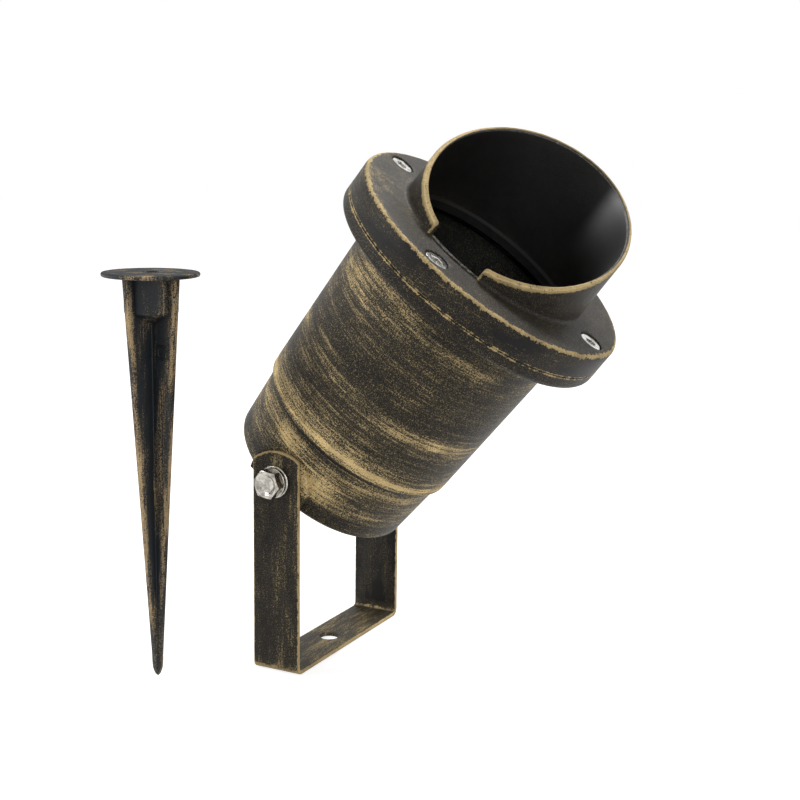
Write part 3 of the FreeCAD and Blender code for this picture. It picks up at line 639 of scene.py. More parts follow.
# Side of the hood's inner wall that keeps some gloss, across the aim axis.
SHEEN_SIDE = (0.82, 0.57, 0.0)


def cap_finish(colours, sizes):
    """Rubbed edges on a speckled black ring, a slanted gold rim, and matt black inside."""
    material, graph, sockets = new_material("cap coat", IOR=1.25, Coat_Roughness=0.47,
                                           Coat_IOR=2.0)
    place = graph.head_place()
    x, y, station = graph.split(place)
    radius = graph.vector("LENGTH", graph.join(x, y, 0.0))
    bands = stored_group("Ragged band", band_group)
    face = FACE / MM
    flange = FLANGE_RADIUS / MM
    bore = (sizes.hood_radius - sizes.hood_wall) / MM

    strokes = graph.vector("MULTIPLY", place, (0.08, 0.08, 1.0))
    clouds = graph.noise(graph.vector("MULTIPLY", place, (0.04, 0.04, 0.12)), 1.0, 3.0)
    coverage = graph.ramp(clouds, 0.3, 0.7, -0.02, 0.26)
    on_face = graph.ramp(station, face - 0.4, face - 0.1)
    left_side = graph.ramp(x, -44.0, -22.0, 1.0, 0.0)
    coverage = graph.math("MULTIPLY_ADD", left_side, 0.08, coverage)
    coverage = graph.math("MULTIPLY_ADD", on_face, -0.05, coverage)
    by_rim = graph.ramp(radius, flange - 4.5, flange - 0.8)
    coverage = graph.math("MULTIPLY_ADD", graph.math("MULTIPLY", by_rim, on_face), 0.14, coverage)
    brush = graph.group(stored_group("Brushed paint", brush_group), stroke_place=strokes,
                        grain_place=place, coverage=coverage, softness=0.028)

    edge_r = graph.math("SUBTRACT", radius, flange - 0.75)
    edge_s = graph.math("SUBTRACT", station, face - 0.45)
    edge = graph.vector("LENGTH", graph.join(edge_r, edge_s, 0.0))
    edge_gold = graph.group(bands, distance=edge, width=0.85, raggedness=0.55,
                            place=place)["Band"]
    seam = graph.math("ABSOLUTE", graph.math("SUBTRACT", station, PARTING / MM + 0.42))
    seam_gold = graph.group(bands, distance=seam, width=0.13, raggedness=0.34, place=place)["Band"]

    slope = (sizes.hood_high - sizes.hood_low) / (2 * sizes.hood_radius)
    middle = face + (sizes.hood_low + sizes.hood_high) / 2 / MM
    rim = graph.math("MULTIPLY_ADD", y, slope, middle)
    below = graph.math("SUBTRACT", rim, station)
    low_side = graph.ramp(y, -26.0, 14.0, 1.0, 0.0)
    outer_wall = graph.ramp(radius, bore + 1.1, bore + 1.6)
    width = graph.math("MULTIPLY_ADD", outer_wall, graph.math("MULTIPLY", low_side, 1.1), 0.7)
    rim_gold = graph.group(bands, distance=below, width=width, raggedness=0.38,
                           place=place)["Band"]
    inner_limit = graph.math("MULTIPLY_ADD", low_side, -0.5, bore + 0.3)
    limit_high = graph.math("ADD", inner_limit, 0.25)
    past_inner = graph.ramp(radius, inner_limit, limit_high)
    above_face = graph.ramp(station, face + 0.3, face + 0.5)
    rim_gold = graph.math("MULTIPLY", rim_gold, graph.math("MULTIPLY", above_face, past_inner))
    half_notch = sizes.notch_width / 2 / MM
    notch = graph.math("SUBTRACT", graph.math("ABSOLUTE", x), half_notch)
    notch_gold = graph.group(bands, distance=notch, width=0.9, raggedness=0.34,
                             place=place)["Band"]
    on_hood = graph.math("MULTIPLY", above_face, graph.ramp(y, -30.0, -29.0, 1.0, 0.0))
    past_notch = graph.ramp(notch, -0.3, -0.1)
    notch_gold = graph.math("MULTIPLY", notch_gold, graph.math("MULTIPLY", on_hood, past_notch))

    gold = strongest(graph, brush["Paint"], edge_gold, seam_gold, rim_gold, notch_gold)
    within = graph.ramp(radius, bore - 0.1, bore + 0.25, 1.0, 0.0)
    hollow = graph.math("MULTIPLY", within, graph.ramp(below, 0.3, 0.6))
    open_skin = graph.math("SUBTRACT", 1.0, hollow)
    gold = graph.math("MULTIPLY", gold, open_skin)
    # The haze added on the flange face (on_face) is a painted sheen that lightens the face where the light falls.
    # The haze from the coverage is the thin gold film.
    haze = graph.math("MULTIPLY_ADD", on_face, 0.15, graph.math("MULTIPLY", coverage, 0.8))
    haze = graph.math("MULTIPLY", haze, open_skin, clamp=True)
    feed_coat(graph, sockets, colours, place, gold, haze, brush["Height"], shine=0.56)
    sheltered = graph.vector("DOT_PRODUCT", place, SHEEN_SIDE)
    sheen = graph.math("MULTIPLY", graph.ramp(sheltered, 28.0, 33.5),
                       graph.ramp(below, 34.0, 8.0, 0.0, 1.0))
    graph.feed(sockets["Coat Weight"], graph.math("MULTIPLY", sheen, hollow))
    return material


def bracket_finish(colours):
    """Gold brushed along the bar, with rubbed edges, top arcs and bends."""
    material, graph, sockets = new_material("bracket coat", IOR=1.26)
    place = graph.own_place()
    x, y, z = graph.split(place)
    bands = stored_group("Ragged band", band_group)
    half_width = BRACKET_HIGH.x / MM
    top = BRACKET_HIGH.z / MM
    arc_radius = 16.0
    strokes = graph.vector("MULTIPLY", place, (0.8, 0.06, 0.05))
    clouds = graph.noise(graph.vector("MULTIPLY", place, (0.14, 0.05, 0.04)), 1.0, 3.0)
    on_base = graph.ramp(z, 2.5, 6.0, 1.0, 0.0)
    near_top = graph.ramp(z, top - 9.0, top - 4.0)
    coverage = graph.ramp(clouds, 0.3, 0.7, 0.04, 0.32)
    coverage = graph.math("MULTIPLY_ADD", on_base, 0.16, coverage)
    coverage = graph.math("MULTIPLY_ADD", near_top, 0.10, coverage)
    # Less gold on the far leg is a painted shade. It darkens the leg's face that stands in shade under the head.
    far_leg_painted_shade = graph.ramp(y, 30.0, BRACKET_HIGH.y / MM - 0.5)
    coverage = graph.math("MULTIPLY_ADD", far_leg_painted_shade, -0.12, coverage)
    brush = graph.group(stored_group("Brushed paint", brush_group), stroke_place=strokes,
                        grain_place=place, coverage=coverage, softness=0.026)
    side = graph.math("SUBTRACT", half_width, graph.math("ABSOLUTE", x))
    side_gold = graph.group(bands, distance=side, width=0.34, raggedness=0.24,
                            place=place)["Band"]
    from_centre = graph.vector("LENGTH", graph.join(
        x, graph.math("MAXIMUM", graph.math("SUBTRACT", z, top - arc_radius), 0.0), 0.0))
    arc = graph.math("SUBTRACT", arc_radius, from_centre)
    arc_gold = graph.group(bands, distance=arc, width=0.75, raggedness=0.28,
                           place=place)["Band"]
    arc_gold = graph.math("MULTIPLY", arc_gold, near_top)
    bend_gold = graph.group(bands, distance=z, width=2.6, raggedness=0.9, place=place)["Band"]
    outside = graph.ramp(graph.math("ABSOLUTE", y), BRACKET_HIGH.y / MM - 2.5,
                         BRACKET_HIGH.y / MM - 1.5)
    bend_gold = graph.math("MULTIPLY", bend_gold, outside)
    gold = strongest(graph, brush["Paint"], side_gold, arc_gold, bend_gold)
    # The haze from the coverage is the thin gold film. The haze added on the base is painted light that brightens
    # its top face. The extra gold on the base is brushed gold.
    haze = graph.math("MULTIPLY_ADD", coverage, 1.2, graph.math("MULTIPLY", on_base, 0.35),
                      clamp=True)
    feed_coat(graph, sockets, colours, place, gold, haze, brush["Height"], shine=0.66)
    return material


def spike_finish(colours):
    """Ochre brushed down blue-black plastic, strongest on the edges of the ribs."""
    material, graph, sockets = new_material("spike plastic", IOR=1.36)
    place = graph.own_place()
    x, y, z = graph.split(place)
    centre_x, centre_y = SPIKE_PLACE.x / MM, SPIKE_PLACE.y / MM
    from_axis = graph.vector("LENGTH", graph.join(graph.math("SUBTRACT", x, centre_x),
                                                  graph.math("SUBTRACT", y, centre_y), 0.0))
    strokes = graph.vector("MULTIPLY", place, (1.1, 1.1, 0.045))
    clouds = graph.noise(graph.vector("MULTIPLY", place, (0.20, 0.20, 0.03)), 1.0, 2.0)
    coverage = graph.ramp(clouds, 0.34, 0.66, -0.10, 0.42)
    reach = graph.math("MULTIPLY_ADD", z, RIB_GROWTH, RIB_HALF_TIP / MM)
    tip = graph.math("SUBTRACT", reach, from_axis)
    on_ribs = graph.ramp(z, SPIKE_TOP / MM - 2.6, SPIKE_TOP / MM - 2.0, 1.0, 0.0)
    rib_edge = graph.math("MULTIPLY", graph.ramp(tip, 0.4, 2.4, 1.0, 0.0), on_ribs)
    coverage = graph.math("MULTIPLY_ADD", rib_edge, 0.26, coverage)
    disc_edge = graph.ramp(from_axis, DISC_RADIUS / MM - 1.2, DISC_RADIUS / MM - 0.2)
    coverage = graph.math("MULTIPLY_ADD", disc_edge, 0.12, coverage)
    brush = graph.group(stored_group("Brushed paint", brush_group), stroke_place=strokes,
                        grain_place=place, coverage=coverage, softness=0.028)
    look = graph.group(stored_group("Aged coat", coat_group), place=place, gold=brush["Paint"],
                       haze=graph.math("MULTIPLY", coverage, 0.35), relief=brush["Height"],
                       coat_colour=rgba(colours.spike), haze_colour=rgba(colours.spike_haze),
                       gold_colour=rgba(colours.ochre))
    graph.feed(sockets["Base Color"], look["Colour"])
    on_top = graph.ramp(z, SPIKE_TOP / MM - 0.6, SPIKE_TOP / MM - 0.2, -0.06, 0.30)
    graph.feed(sockets["Roughness"], graph.math("ADD", look["Roughness"], on_top))
    feed_bump(graph, sockets, look["Height"], 0.12 * MM)
    return material


def metal_finish(name, base, dullness, depth):
    """Bare or plated metal with fine scratches."""
    material, graph, sockets = new_material(name, Metallic=1.0)
    place = graph.own_place()
    look = graph.group(stored_group("Scratched metal", scratch_group), place=place,
                       dullness=dullness)
    tone = graph.join(look["Tone"], look["Tone"], look["Tone"])
    graph.feed(sockets["Base Color"], graph.vector("MULTIPLY", base, tone))
    graph.feed(sockets["Roughness"], look["Roughness"])
    feed_bump(graph, sockets, look["Height"], depth)
    return material


def moulded_finish(name, base, dull, grain, depth, **constants):
    """Plastic, rubber or ceramic with its moulded skin."""
    material, graph, sockets = new_material(name, **constants)
    look = graph.group(stored_group("Moulded skin", moulded_group), place=graph.own_place(),
                       base=rgba(base), dull=dull, grain=grain)
    graph.feed(sockets["Base Color"], look["Colour"])
    graph.feed(sockets["Roughness"], look["Roughness"])
    feed_bump(graph, sockets, look["Height"], depth)
    return material


def striped_wire_finish(name, base, stripe):
    """Green insulation with one yellow stripe wound slowly round it."""
    material, graph, sockets = new_material(name)
    place = graph.own_place()
    x, y, z = graph.split(place)
    turn = graph.math("SINE", graph.math("ADD", graph.math("MULTIPLY", x, 1.6),
                                         graph.math("MULTIPLY", y, 0.45)))
    mask = graph.ramp(turn, 0.1, 0.3)
    look = graph.group(stored_group("Moulded skin", moulded_group), place=place,
                       base=graph.mix(mask, rgba(base), rgba(stripe)), dull=0.35, grain=3.0)
    graph.feed(sockets["Base Color"], look["Colour"])
    graph.feed(sockets["Roughness"], look["Roughness"])
    feed_bump(graph, sockets, look["Height"], 0.03 * MM)
    return material


def glass_finish(colours):
    """Clear glass with a faint film of dust towards its edge."""
    material, graph, sockets = new_material("lens glass", IOR=1.5, Transmission_Weight=1.0)
    place = graph.head_place()
    x, y, station = graph.split(place)
    radius = graph.vector("LENGTH", graph.join(x, y, 0.0))
    film = graph.noise(place, 0.15, 3.0, 0.6)
    edge = graph.ramp(radius, LENS_RADIUS / MM - 12.0, LENS_RADIUS / MM)
    dust = graph.math("MULTIPLY_ADD", edge, 0.06, graph.math("MULTIPLY", film, 0.05))
    graph.feed(sockets["Roughness"], dust)
    tint = graph.mix(edge, rgba(colours.glass), (0.62, 0.80, 0.74, 1.0))
    graph.feed(sockets["Base Color"], tint)
    return material


# ---- operators ----

class PieceOperator:
    """What the operators share: the sizes and colours of the scene."""
    bl_options = {"REGISTER", "UNDO"}

    def execute(self, context):
        self.build(context.scene.spotlight_sizes, context.scene.spotlight_colours)
        return {"FINISHED"}


CAMERA_CENTRE = Vector((0.0, 0.0, 0.070))
CAMERA_AZIMUTH = math.radians(29.839)
CAMERA_ELEVATION = math.radians(13.528)
CAMERA_DISTANCE = 0.5641
CAMERA_ROLL = math.radians(0.817)
CAMERA_LENS = 62.52
TARGET_SIDE = 27.875 * MM
TARGET_RISE = 30.839 * MM


class SPOTLIGHT_OT_stage(PieceOperator, bpy.types.Operator):
    """Set up the floor, the lights, the world and the camera"""
    bl_idname = "spotlight.stage"
    bl_label = "Stage"

    def build(self, sizes, colours):
        add_floor()
        add_world()
        for name, place, target, size, power in STAGE_LIGHTS:
            add_light(name, Vector(place), Vector(target), size, power)
        add_camera()
        bpy.context.scene.view_settings.view_transform = "Standard"


# Soft lamps: name, place, what it points at, size and power in watts.
STAGE_LIGHTS = (
    ("top softbox", (0.12, 0.52, 1.05), (0.05, 0.0, 0.14), 0.40, 9.0),
    ("left softbox", (-0.80, -0.60, 0.60), (0.02, 0.0, 0.10), 0.60, 5.5),
    ("right softbox", (0.95, -0.45, 0.45), (0.03, 0.0, 0.10), 0.60, 2.5),
)
FLOOR_SIZE = 6.0
FLOOR_DROP = 0.2 * MM
FLOOR_GLOW = 0.78
WORLD_LIGHT = 0.42


def add_floor():
    half = FLOOR_SIZE / 2
    mesh = bpy.data.meshes.new("floor")
    mesh.from_pydata([(-half, -half, -FLOOR_DROP), (half, -half, -FLOOR_DROP),
                      (half, half, -FLOOR_DROP), (-half, half, -FLOOR_DROP)], [], [(0, 1, 2, 3)])
    floor = bpy.data.objects.new("floor", mesh)
    bpy.context.scene.collection.objects.link(floor)
    material, graph, sockets = new_material("floor", Roughness=0.9)
    sockets["Base Color"].default_value = (0.50, 0.50, 0.50, 1.0)
    sockets["Emission Color"].default_value = (1.0, 1.0, 1.0, 1.0)
    path = graph.add("ShaderNodeLightPath").outputs
    seen = strongest(graph, path["Is Camera Ray"], path["Is Glossy Ray"],
                     path["Is Transmission Ray"])
    graph.feed(sockets["Emission Strength"], graph.math("MULTIPLY", seen, FLOOR_GLOW))
    mesh.materials.append(material)


def add_world():
    world = bpy.data.worlds.new("studio")
    bpy.context.scene.world = world
    world.use_nodes = True
    world.node_tree.nodes.clear()
    graph = Graph(world.node_tree)
    background = graph.add("ShaderNodeBackground")
    path = graph.add("ShaderNodeLightPath").outputs
    seen = strongest(graph, path["Is Camera Ray"], path["Is Glossy Ray"],
                     path["Is Transmission Ray"])
    strength = graph.math("MULTIPLY_ADD", seen, 1.0 - WORLD_LIGHT, WORLD_LIGHT)
    graph.feed(background.inputs["Color"], (1.0, 1.0, 1.0, 1.0))
    graph.feed(background.inputs["Strength"], strength)
    graph.feed(graph.add("ShaderNodeOutputWorld").inputs["Surface"], background.outputs[0])


def add_light(name, place, target, size, power):
    data = bpy.data.lights.new(name, "AREA")
    data.shape = "DISK"
    data.size = size
    data.energy = power
    light = bpy.data.objects.new(name, data)
    light.location = place
    light.rotation_euler = (target - place).to_track_quat("-Z", "Y").to_euler()
    bpy.context.scene.collection.objects.link(light)


def add_camera():
    """Camera at the angle of the photograph."""
    flat = math.cos(CAMERA_ELEVATION)
    place = CAMERA_CENTRE + CAMERA_DISTANCE * Vector((
        flat * math.sin(CAMERA_AZIMUTH), -flat * math.cos(CAMERA_AZIMUTH),
        math.sin(CAMERA_ELEVATION)))
    target = CAMERA_CENTRE + Vector((TARGET_SIDE * math.cos(CAMERA_AZIMUTH),
                                     TARGET_SIDE * math.sin(CAMERA_AZIMUTH), TARGET_RISE))
    back = (place - target).normalized()
    right = Vector((0, 0, 1)).cross(back).normalized()
    up = back.cross(right)
    rolled = math.cos(CAMERA_ROLL) * right + math.sin(CAMERA_ROLL) * up
    data = bpy.data.cameras.new("camera")
    data.lens = CAMERA_LENS
    data.sensor_width = 36.0
    camera = bpy.data.objects.new("camera", data)
    matrix = Matrix((rolled, back.cross(rolled), back)).transposed().to_4x4()
    matrix.translation = place
    camera.matrix_world = matrix
    bpy.context.scene.collection.objects.link(camera)
    bpy.context.scene.camera = camera


class SPOTLIGHT_OT_housing(PieceOperator, bpy.types.Operator):
    """Finish the cast housing"""
    bl_idname = "spotlight.housing"
    bl_label = "Housing"

    def build(self, sizes, colours):
        finish_node("housing", housing_finish(colours))


class SPOTLIGHT_OT_front_cap(PieceOperator, bpy.types.Operator):
    """Model the front cap with its slanted hood, notch and counterbores"""
    bl_idname = "spotlight.front_cap"
    bl_label = "Front Cap"

    def build(self, sizes, colours):
        angles = cap_angles(sizes)
        sections = [cap_section(angle, sizes) for angle in angles]
        rings = [[Vector((radius * math.cos(angle), radius * math.sin(angle), station))
                  for angle, (radius, station) in zip(angles, places)]
                 for places in zip(*sections)]
        points, faces = skin(rings, closed=True)
        cap = make_object("front_cap_cast", [(points, faces, HEAD)], 50.0)
        apply_boolean(cap, [counterbore_tool(x, y, sizes) for x, y in screw_places()],
                      "DIFFERENCE")
        shade(cap.data, 38.0)
        place_piece(cap, "head", ["front_cap"], cap_finish(colours, sizes))


CAP_STEP = math.radians(2.0)
NOTCH_STEP = math.radians(0.6)
NOTCH_CENTRE = -math.pi / 2
NOTCH_EDGE_STEPS = (0.0, 0.04, 0.12, 0.25, 0.42, 0.65, 0.9, 1.2)
HOOD_DRAFT = 0.016
HOOD_ROWS = 12
RIM_RAGGED = 0.10 * MM
# Turns the tools that cut or join, so that none of their edges lies on an edge of the piece.
TOOL_TURN = 0.05
ARC_STEPS = 5


def notch_half_angle(sizes):
    return math.asin(sizes.notch_width / 2 / sizes.hood_radius)


def cap_angles(sizes):
    """Angles round the cap: even ones, closer ones in the notch, and a cluster at its ends."""
    half = notch_half_angle(sizes)
    offsets = []
    count = int(half / NOTCH_STEP)
    offsets.extend(half * index / count * 0.995 for index in range(-count, count + 1))
    for step in NOTCH_EDGE_STEPS:
        edge = half + step * MM / sizes.hood_radius + 1e-5
        offsets.extend((-edge, edge))
    last = max(offsets)
    rest = 2 * math.pi - 2 * last
    count = int(rest / CAP_STEP)
    offsets.extend(last + rest * index / count for index in range(1, count))
    return [NOTCH_CENTRE + offset for offset in sorted(offsets)]


def hood_height(angle, radius, sizes):
    """Height of the hood's rim above the flange at a place, with the notch and its corners."""
    middle = (sizes.hood_low + sizes.hood_high) / 2 - RIM_RAGGED
    slope = (sizes.hood_high - sizes.hood_low) / (2 * sizes.hood_radius)
    plane = middle + slope * radius * math.sin(angle)
    offset = abs(math.remainder(angle - NOTCH_CENTRE, 2 * math.pi)) - notch_half_angle(sizes)
    ragged = noise.noise(Vector((math.degrees(angle) * 0.9, radius / MM * 0.8, 3.0)))
    if offset < 0:
        return sizes.notch_lip * (0.75 + 0.55 * ragged)
    past = offset * sizes.hood_radius
    corner = min(sizes.notch_corner, plane * 0.6)
    if past < corner:
        plane -= corner - math.sqrt(corner ** 2 - (corner - past) ** 2)
    return plane - RIM_RAGGED * (1.0 + ragged)


def cap_section(angle, sizes):
    """Closed outline of the cap at an angle, as (radius, station), counter-clockwise."""
    edge = 0.4 * MM
    drafted = sizes.hood_radius - HOOD_DRAFT * hood_height(angle, sizes.hood_radius, sizes)
    root_height = hood_height(angle, drafted, sizes)
    root = min(sizes.hood_root, root_height * 0.45)
    rim = min(sizes.rim_round, root_height * 0.4, sizes.hood_wall * 0.45)
    seat_radius = LENS_RADIUS + 2.0 * MM
    seat = LENS_FRONT + 1.0 * MM
    wave = 0.05 * MM * noise.noise(Vector((2.2 * math.cos(angle), 2.2 * math.sin(angle), 1.0)))
    outer = FLANGE_RADIUS - 0.05 * MM + wave
    front = sizes.flange_round
    points = [(seat_radius, PARTING)]
    points.extend(arc_points((outer - edge, PARTING + edge), edge, -90, 0, 3))
    points.append((outer, (PARTING + FACE) / 2))
    points.extend(arc_points((outer - front, FACE - front), front, 0, 90, 8))
    for share in (0.25, 0.5, 0.75):
        points.append((outer - front + (sizes.hood_radius + root - outer + front) * share, FACE))
    points.extend(arc_points((sizes.hood_radius + root, FACE + root), root, 270, 180, ARC_STEPS))
    draft = HOOD_DRAFT * root_height
    wall_top = FACE + root_height - rim
    for row in range(1, HOOD_ROWS):
        share = row / HOOD_ROWS
        station = FACE + root + (wall_top - FACE - root) * share
        points.append((sizes.hood_radius - draft * share, station))
    top_outer = sizes.hood_radius - draft
    top_inner = top_outer - sizes.hood_wall
    inner_height = hood_height(angle, top_inner, sizes)
    points.extend(arc_points((top_outer - rim, wall_top), rim, 0, 90, ARC_STEPS))
    dip = 0.35 * MM if root_height < 2 * sizes.notch_lip else 0.0
    middle_height = hood_height(angle, (top_outer + top_inner) / 2, sizes)
    points.append(((top_outer + top_inner) / 2, FACE + middle_height - dip))
    points.extend(arc_points((top_inner + rim, FACE + inner_height - rim), rim, 90, 180,
                             ARC_STEPS))
    bore = sizes.hood_radius - sizes.hood_wall
    throat_top = seat + sizes.throat_depth
    chamfer = bore - sizes.throat_radius
    inner_top = FACE + inner_height - rim
    for row in range(1, HOOD_ROWS + 1):
        share = row / HOOD_ROWS
        station = inner_top + (throat_top + chamfer - inner_top) * share
        points.append((top_inner + (bore - top_inner) * share, station))
    points.append((sizes.throat_radius, throat_top))
    points.append((sizes.throat_radius, seat))
    points.append((seat_radius, seat))
    return points


def screw_places():
    for angle in even_angles(4):
        yield SCREW_CIRCLE * math.cos(angle), SCREW_CIRCLE * math.sin(angle)


def counterbore_tool(x, y, sizes):
    """What a counterbore with its worn edge and the screw's hole take out of the cap."""
    seat = SCREW_TOP - SCREW_HEAD
    flare = sizes.counterbore_flare
    above = FACE + 1.0 * MM
    outline = [(0, PARTING - 1.0 * MM), (2.75 * MM, PARTING - 1.0 * MM), (2.75 * MM, seat),
               (sizes.counterbore, seat), (sizes.counterbore, FACE - flare),
               (sizes.counterbore + 0.4 * flare, FACE - 0.3 * flare),
               (sizes.counterbore + flare, FACE + 0.01 * MM),
               (sizes.counterbore + flare, above), (0, above)]
    points, faces = skin(turned_rings(outline, even_angles(40)))
    place = HEAD @ Matrix.Translation((x, y, 0)) @ Matrix.Rotation(TOOL_TURN, 4, "Z")
    return make_object("counterbore tool", [(points, faces, place)])


class SPOTLIGHT_OT_cap_screws(PieceOperator, bpy.types.Operator):
    """Model the four socket screws of the front cap"""
    bl_idname = "spotlight.cap_screws"
    bl_label = "Cap Screws"

    def build(self, sizes, colours):
        shells = []
        for index, (x, y) in enumerate(screw_places()):
            turn = Matrix.Rotation(math.radians(17 + 41 * index), 4, "Z")
            points, faces = skin(socket_screw_rings())
            shells.append((points, faces, HEAD @ Matrix.Translation((x, y, 0)) @ turn))
        screws = make_object("cap_screws_socket", shells, 32.0)
        steel = metal_finish("cap screw steel", colours.screw, 0.12, 0.015 * MM)
        place_piece(screws, "head", ["cap_screws"], steel)


SCREW_HEAD = 5.0 * MM
SCREW_RISE = 0.35 * MM


def hexagon_radius(flats, angle):
    """Distance from the centre to the side of a hexagon at an angle."""
    within = math.remainder(angle, math.radians(60))
    return flats / 2 / math.cos(within)


def socket_screw_rings():
    """Rings of one socket screw, from the end of its shank to the floor of its socket."""
    angles = even_angles(36)
    head = 4.5 * MM
    shank = 2.45 * MM
    top = SCREW_TOP + SCREW_RISE
    seat = SCREW_TOP - SCREW_HEAD
    outline = [(0, seat - 10 * MM), (shank - 0.5 * MM, seat - 10 * MM),
               (shank, seat - 9.5 * MM), (shank, seat), (head, seat), (head, top - 0.5 * MM)]
    outline.extend(arc_points((head - 0.5 * MM, top - 0.5 * MM), 0.5 * MM, 15, 90, 5))
    rings = turned_rings(outline, angles)
    flats = 3.6 * MM
    for flare, height in ((0.30 * MM, 0.0), (0.05 * MM, -0.25 * MM), (0.0, -2.0 * MM)):
        ring = []
        for angle in angles:
            radius = min(hexagon_radius(flats, angle) + flare, 2.75 * MM)
            ring.append(Vector((radius * math.cos(angle), radius * math.sin(angle),
                                top + height)))
        rings.append(ring)
    rings.append([Vector((0, 0, top - 3.2 * MM))])
    return rings


class SPOTLIGHT_OT_lens(PieceOperator, bpy.types.Operator):
    """Finish the front glass and its gasket"""
    bl_idname = "spotlight.lens"
    bl_label = "Front Glass"

    def build(self, sizes, colours):
        finish_node("lens_glass", glass_finish(colours))
        finish_node("lens_gasket", moulded_finish("gasket rubber", colours.rubber, 0.6, 2.5,
                                                  0.05 * MM))


class SPOTLIGHT_OT_bracket(PieceOperator, bpy.types.Operator):
    """Model the bent bracket with its rubbed edges"""
    bl_idname = "spotlight.bracket"
    bl_label = "Bracket"

    def build(self, sizes, colours):
        bracket = softened("bracket_bar", "bracket", sizes.bar_edge)
        place_piece(bracket, "bracket", ["bracket"], bracket_finish(colours))


class SPOTLIGHT_OT_tilt_bolts(PieceOperator, bpy.types.Operator):
    """Model the two hexagon bolts with their spring washers and flat washers"""
    bl_idname = "spotlight.tilt_bolts"
    bl_label = "Tilt Bolts"

    def build(self, sizes, colours):
        steel = metal_finish("tilt bolt steel", colours.steel, 0.10, 0.02 * MM)
        bolts = make_object("tilt_bolts_hex", [bolt_shell(side, sizes) for side in (-1, 1)], 30.0)
        place_piece(bolts, "head", ["pivot_bolts"], steel)
        springs = make_object("spring_washers_split", [spring_shell(side) for side in (-1, 1)],
                              30.0)
        place_piece(springs, "head", ["spring_washers"], steel)
        washers = make_object("flat_washers_worn", [washer_shell(side) for side in (-1, 1)], 30.0)
        place_piece(washers, "bracket", ["flat_washers"], steel)


BOLT_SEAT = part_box("spring_washers")[1].y
SPRING_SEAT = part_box("flat_washers")[1].y
WASHER_SEAT = BRACKET_HIGH.y
BOLT_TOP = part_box("pivot_bolts")[1].y
BOLT_TURN = math.radians(21.0)


def beside_leg(side, distance):
    """Matrix of something that stands out from one leg along the tilt axis, its base at distance."""
    turn = Matrix.Rotation(-math.pi / 2 * side, 4, "X")
    return Matrix.Translation((PIVOT.x, side * distance, PIVOT.z)) @ turn


def bolt_shell(side, sizes):
    """Hexagon bolt with a chamfered, dished head and its shank in the boss."""
    angles = even_angles(72)
    height = BOLT_TOP - BOLT_SEAT
    flats = sizes.bolt_flats
    chamfer_start = flats / 2 * 0.97
    slope = math.tan(math.radians(28))
    shank = 2.95 * MM
    rings = turned_rings([(0, -16 * MM), (shank - 0.6 * MM, -16 * MM), (shank, -15.4 * MM),
                          (shank, 0)], angles)
    for low in (True, False):
        ring = []
        for angle in angles:
            radius = hexagon_radius(flats, angle)
            drop = max(0.0, radius - chamfer_start) * slope
            level = drop / 2 if low else height - drop
            ring.append(Vector((radius * math.cos(angle), radius * math.sin(angle), level)))
        rings.append(ring)
    rim = [(chamfer_start * 0.985, height), (4.1 * MM, height - 0.04 * MM),
           (3.7 * MM, height - 0.30 * MM), (3.1 * MM, height - 0.75 * MM),
           (2.2 * MM, height - 0.85 * MM), (1.2 * MM, height - 0.80 * MM),
           (0, height - 0.78 * MM)]
    dish = turned_rings(rim, angles)
    for ring in dish[3:-1]:
        for point in ring:
            point.z += 0.22 * MM * noise.noise(Vector((point.x, point.y, side * MM)) * 520)
    rings.extend(dish)
    points, faces = skin(rings)
    return points, faces, beside_leg(side, BOLT_SEAT) @ Matrix.Rotation(BOLT_TURN, 4, "Z")


def spring_shell(side):
    """Split spring washer, its two ends a little apart along the bolt."""
    inner, outer = 3.15 * MM, 5.8 * MM
    thickness = BOLT_SEAT - SPRING_SEAT
    edge = 0.15 * MM
    gap = math.radians(12)
    count = 60
    sections = []
    for index in range(count + 1):
        share = index / count
        angle = gap / 2 + (2 * math.pi - gap) * share
        lift = 0.12 * MM * (share - 0.5)
        low, high = 0.06 * MM, thickness - 0.06 * MM
        outline = [(inner + edge, low), (outer - edge, low), (outer, low + edge),
                   (outer, high - edge), (outer - edge, high), (inner + edge, high),
                   (inner, high - edge), (inner, low + edge)]
        sections.append([Vector((radius * math.cos(angle), radius * math.sin(angle),
                                 level + lift)) for radius, level in outline])
    points, faces = skin(sections)
    last = len(points) - len(sections[0])
    faces.append(list(range(len(sections[0])))[::-1])
    faces.append(list(range(last, len(points))))
    turn = Matrix.Rotation(math.radians(125), 4, "Z")
    return points, faces, beside_leg(side, SPRING_SEAT) @ turn


def washer_shell(side):
    """Flat washer with a punched, rounded edge."""
    thickness = SPRING_SEAT - WASHER_SEAT
    inner, outer = 3.15 * MM, 6.25 * MM
    outline = [(inner, 0.15 * MM), (inner + 0.15 * MM, 0)]
    outline.extend(arc_points((outer - 0.3 * MM, 0.3 * MM), 0.3 * MM, -90, 0, 3))
    outline.extend(arc_points((outer - 0.45 * MM, thickness - 0.45 * MM), 0.45 * MM, 0, 90, 4))
    outline.extend([(inner + 0.2 * MM, thickness), (inner, thickness - 0.2 * MM)])
    points, faces = skin(turned_rings(outline, even_angles(64)), closed=True)
    return points, faces, beside_leg(side, WASHER_SEAT)


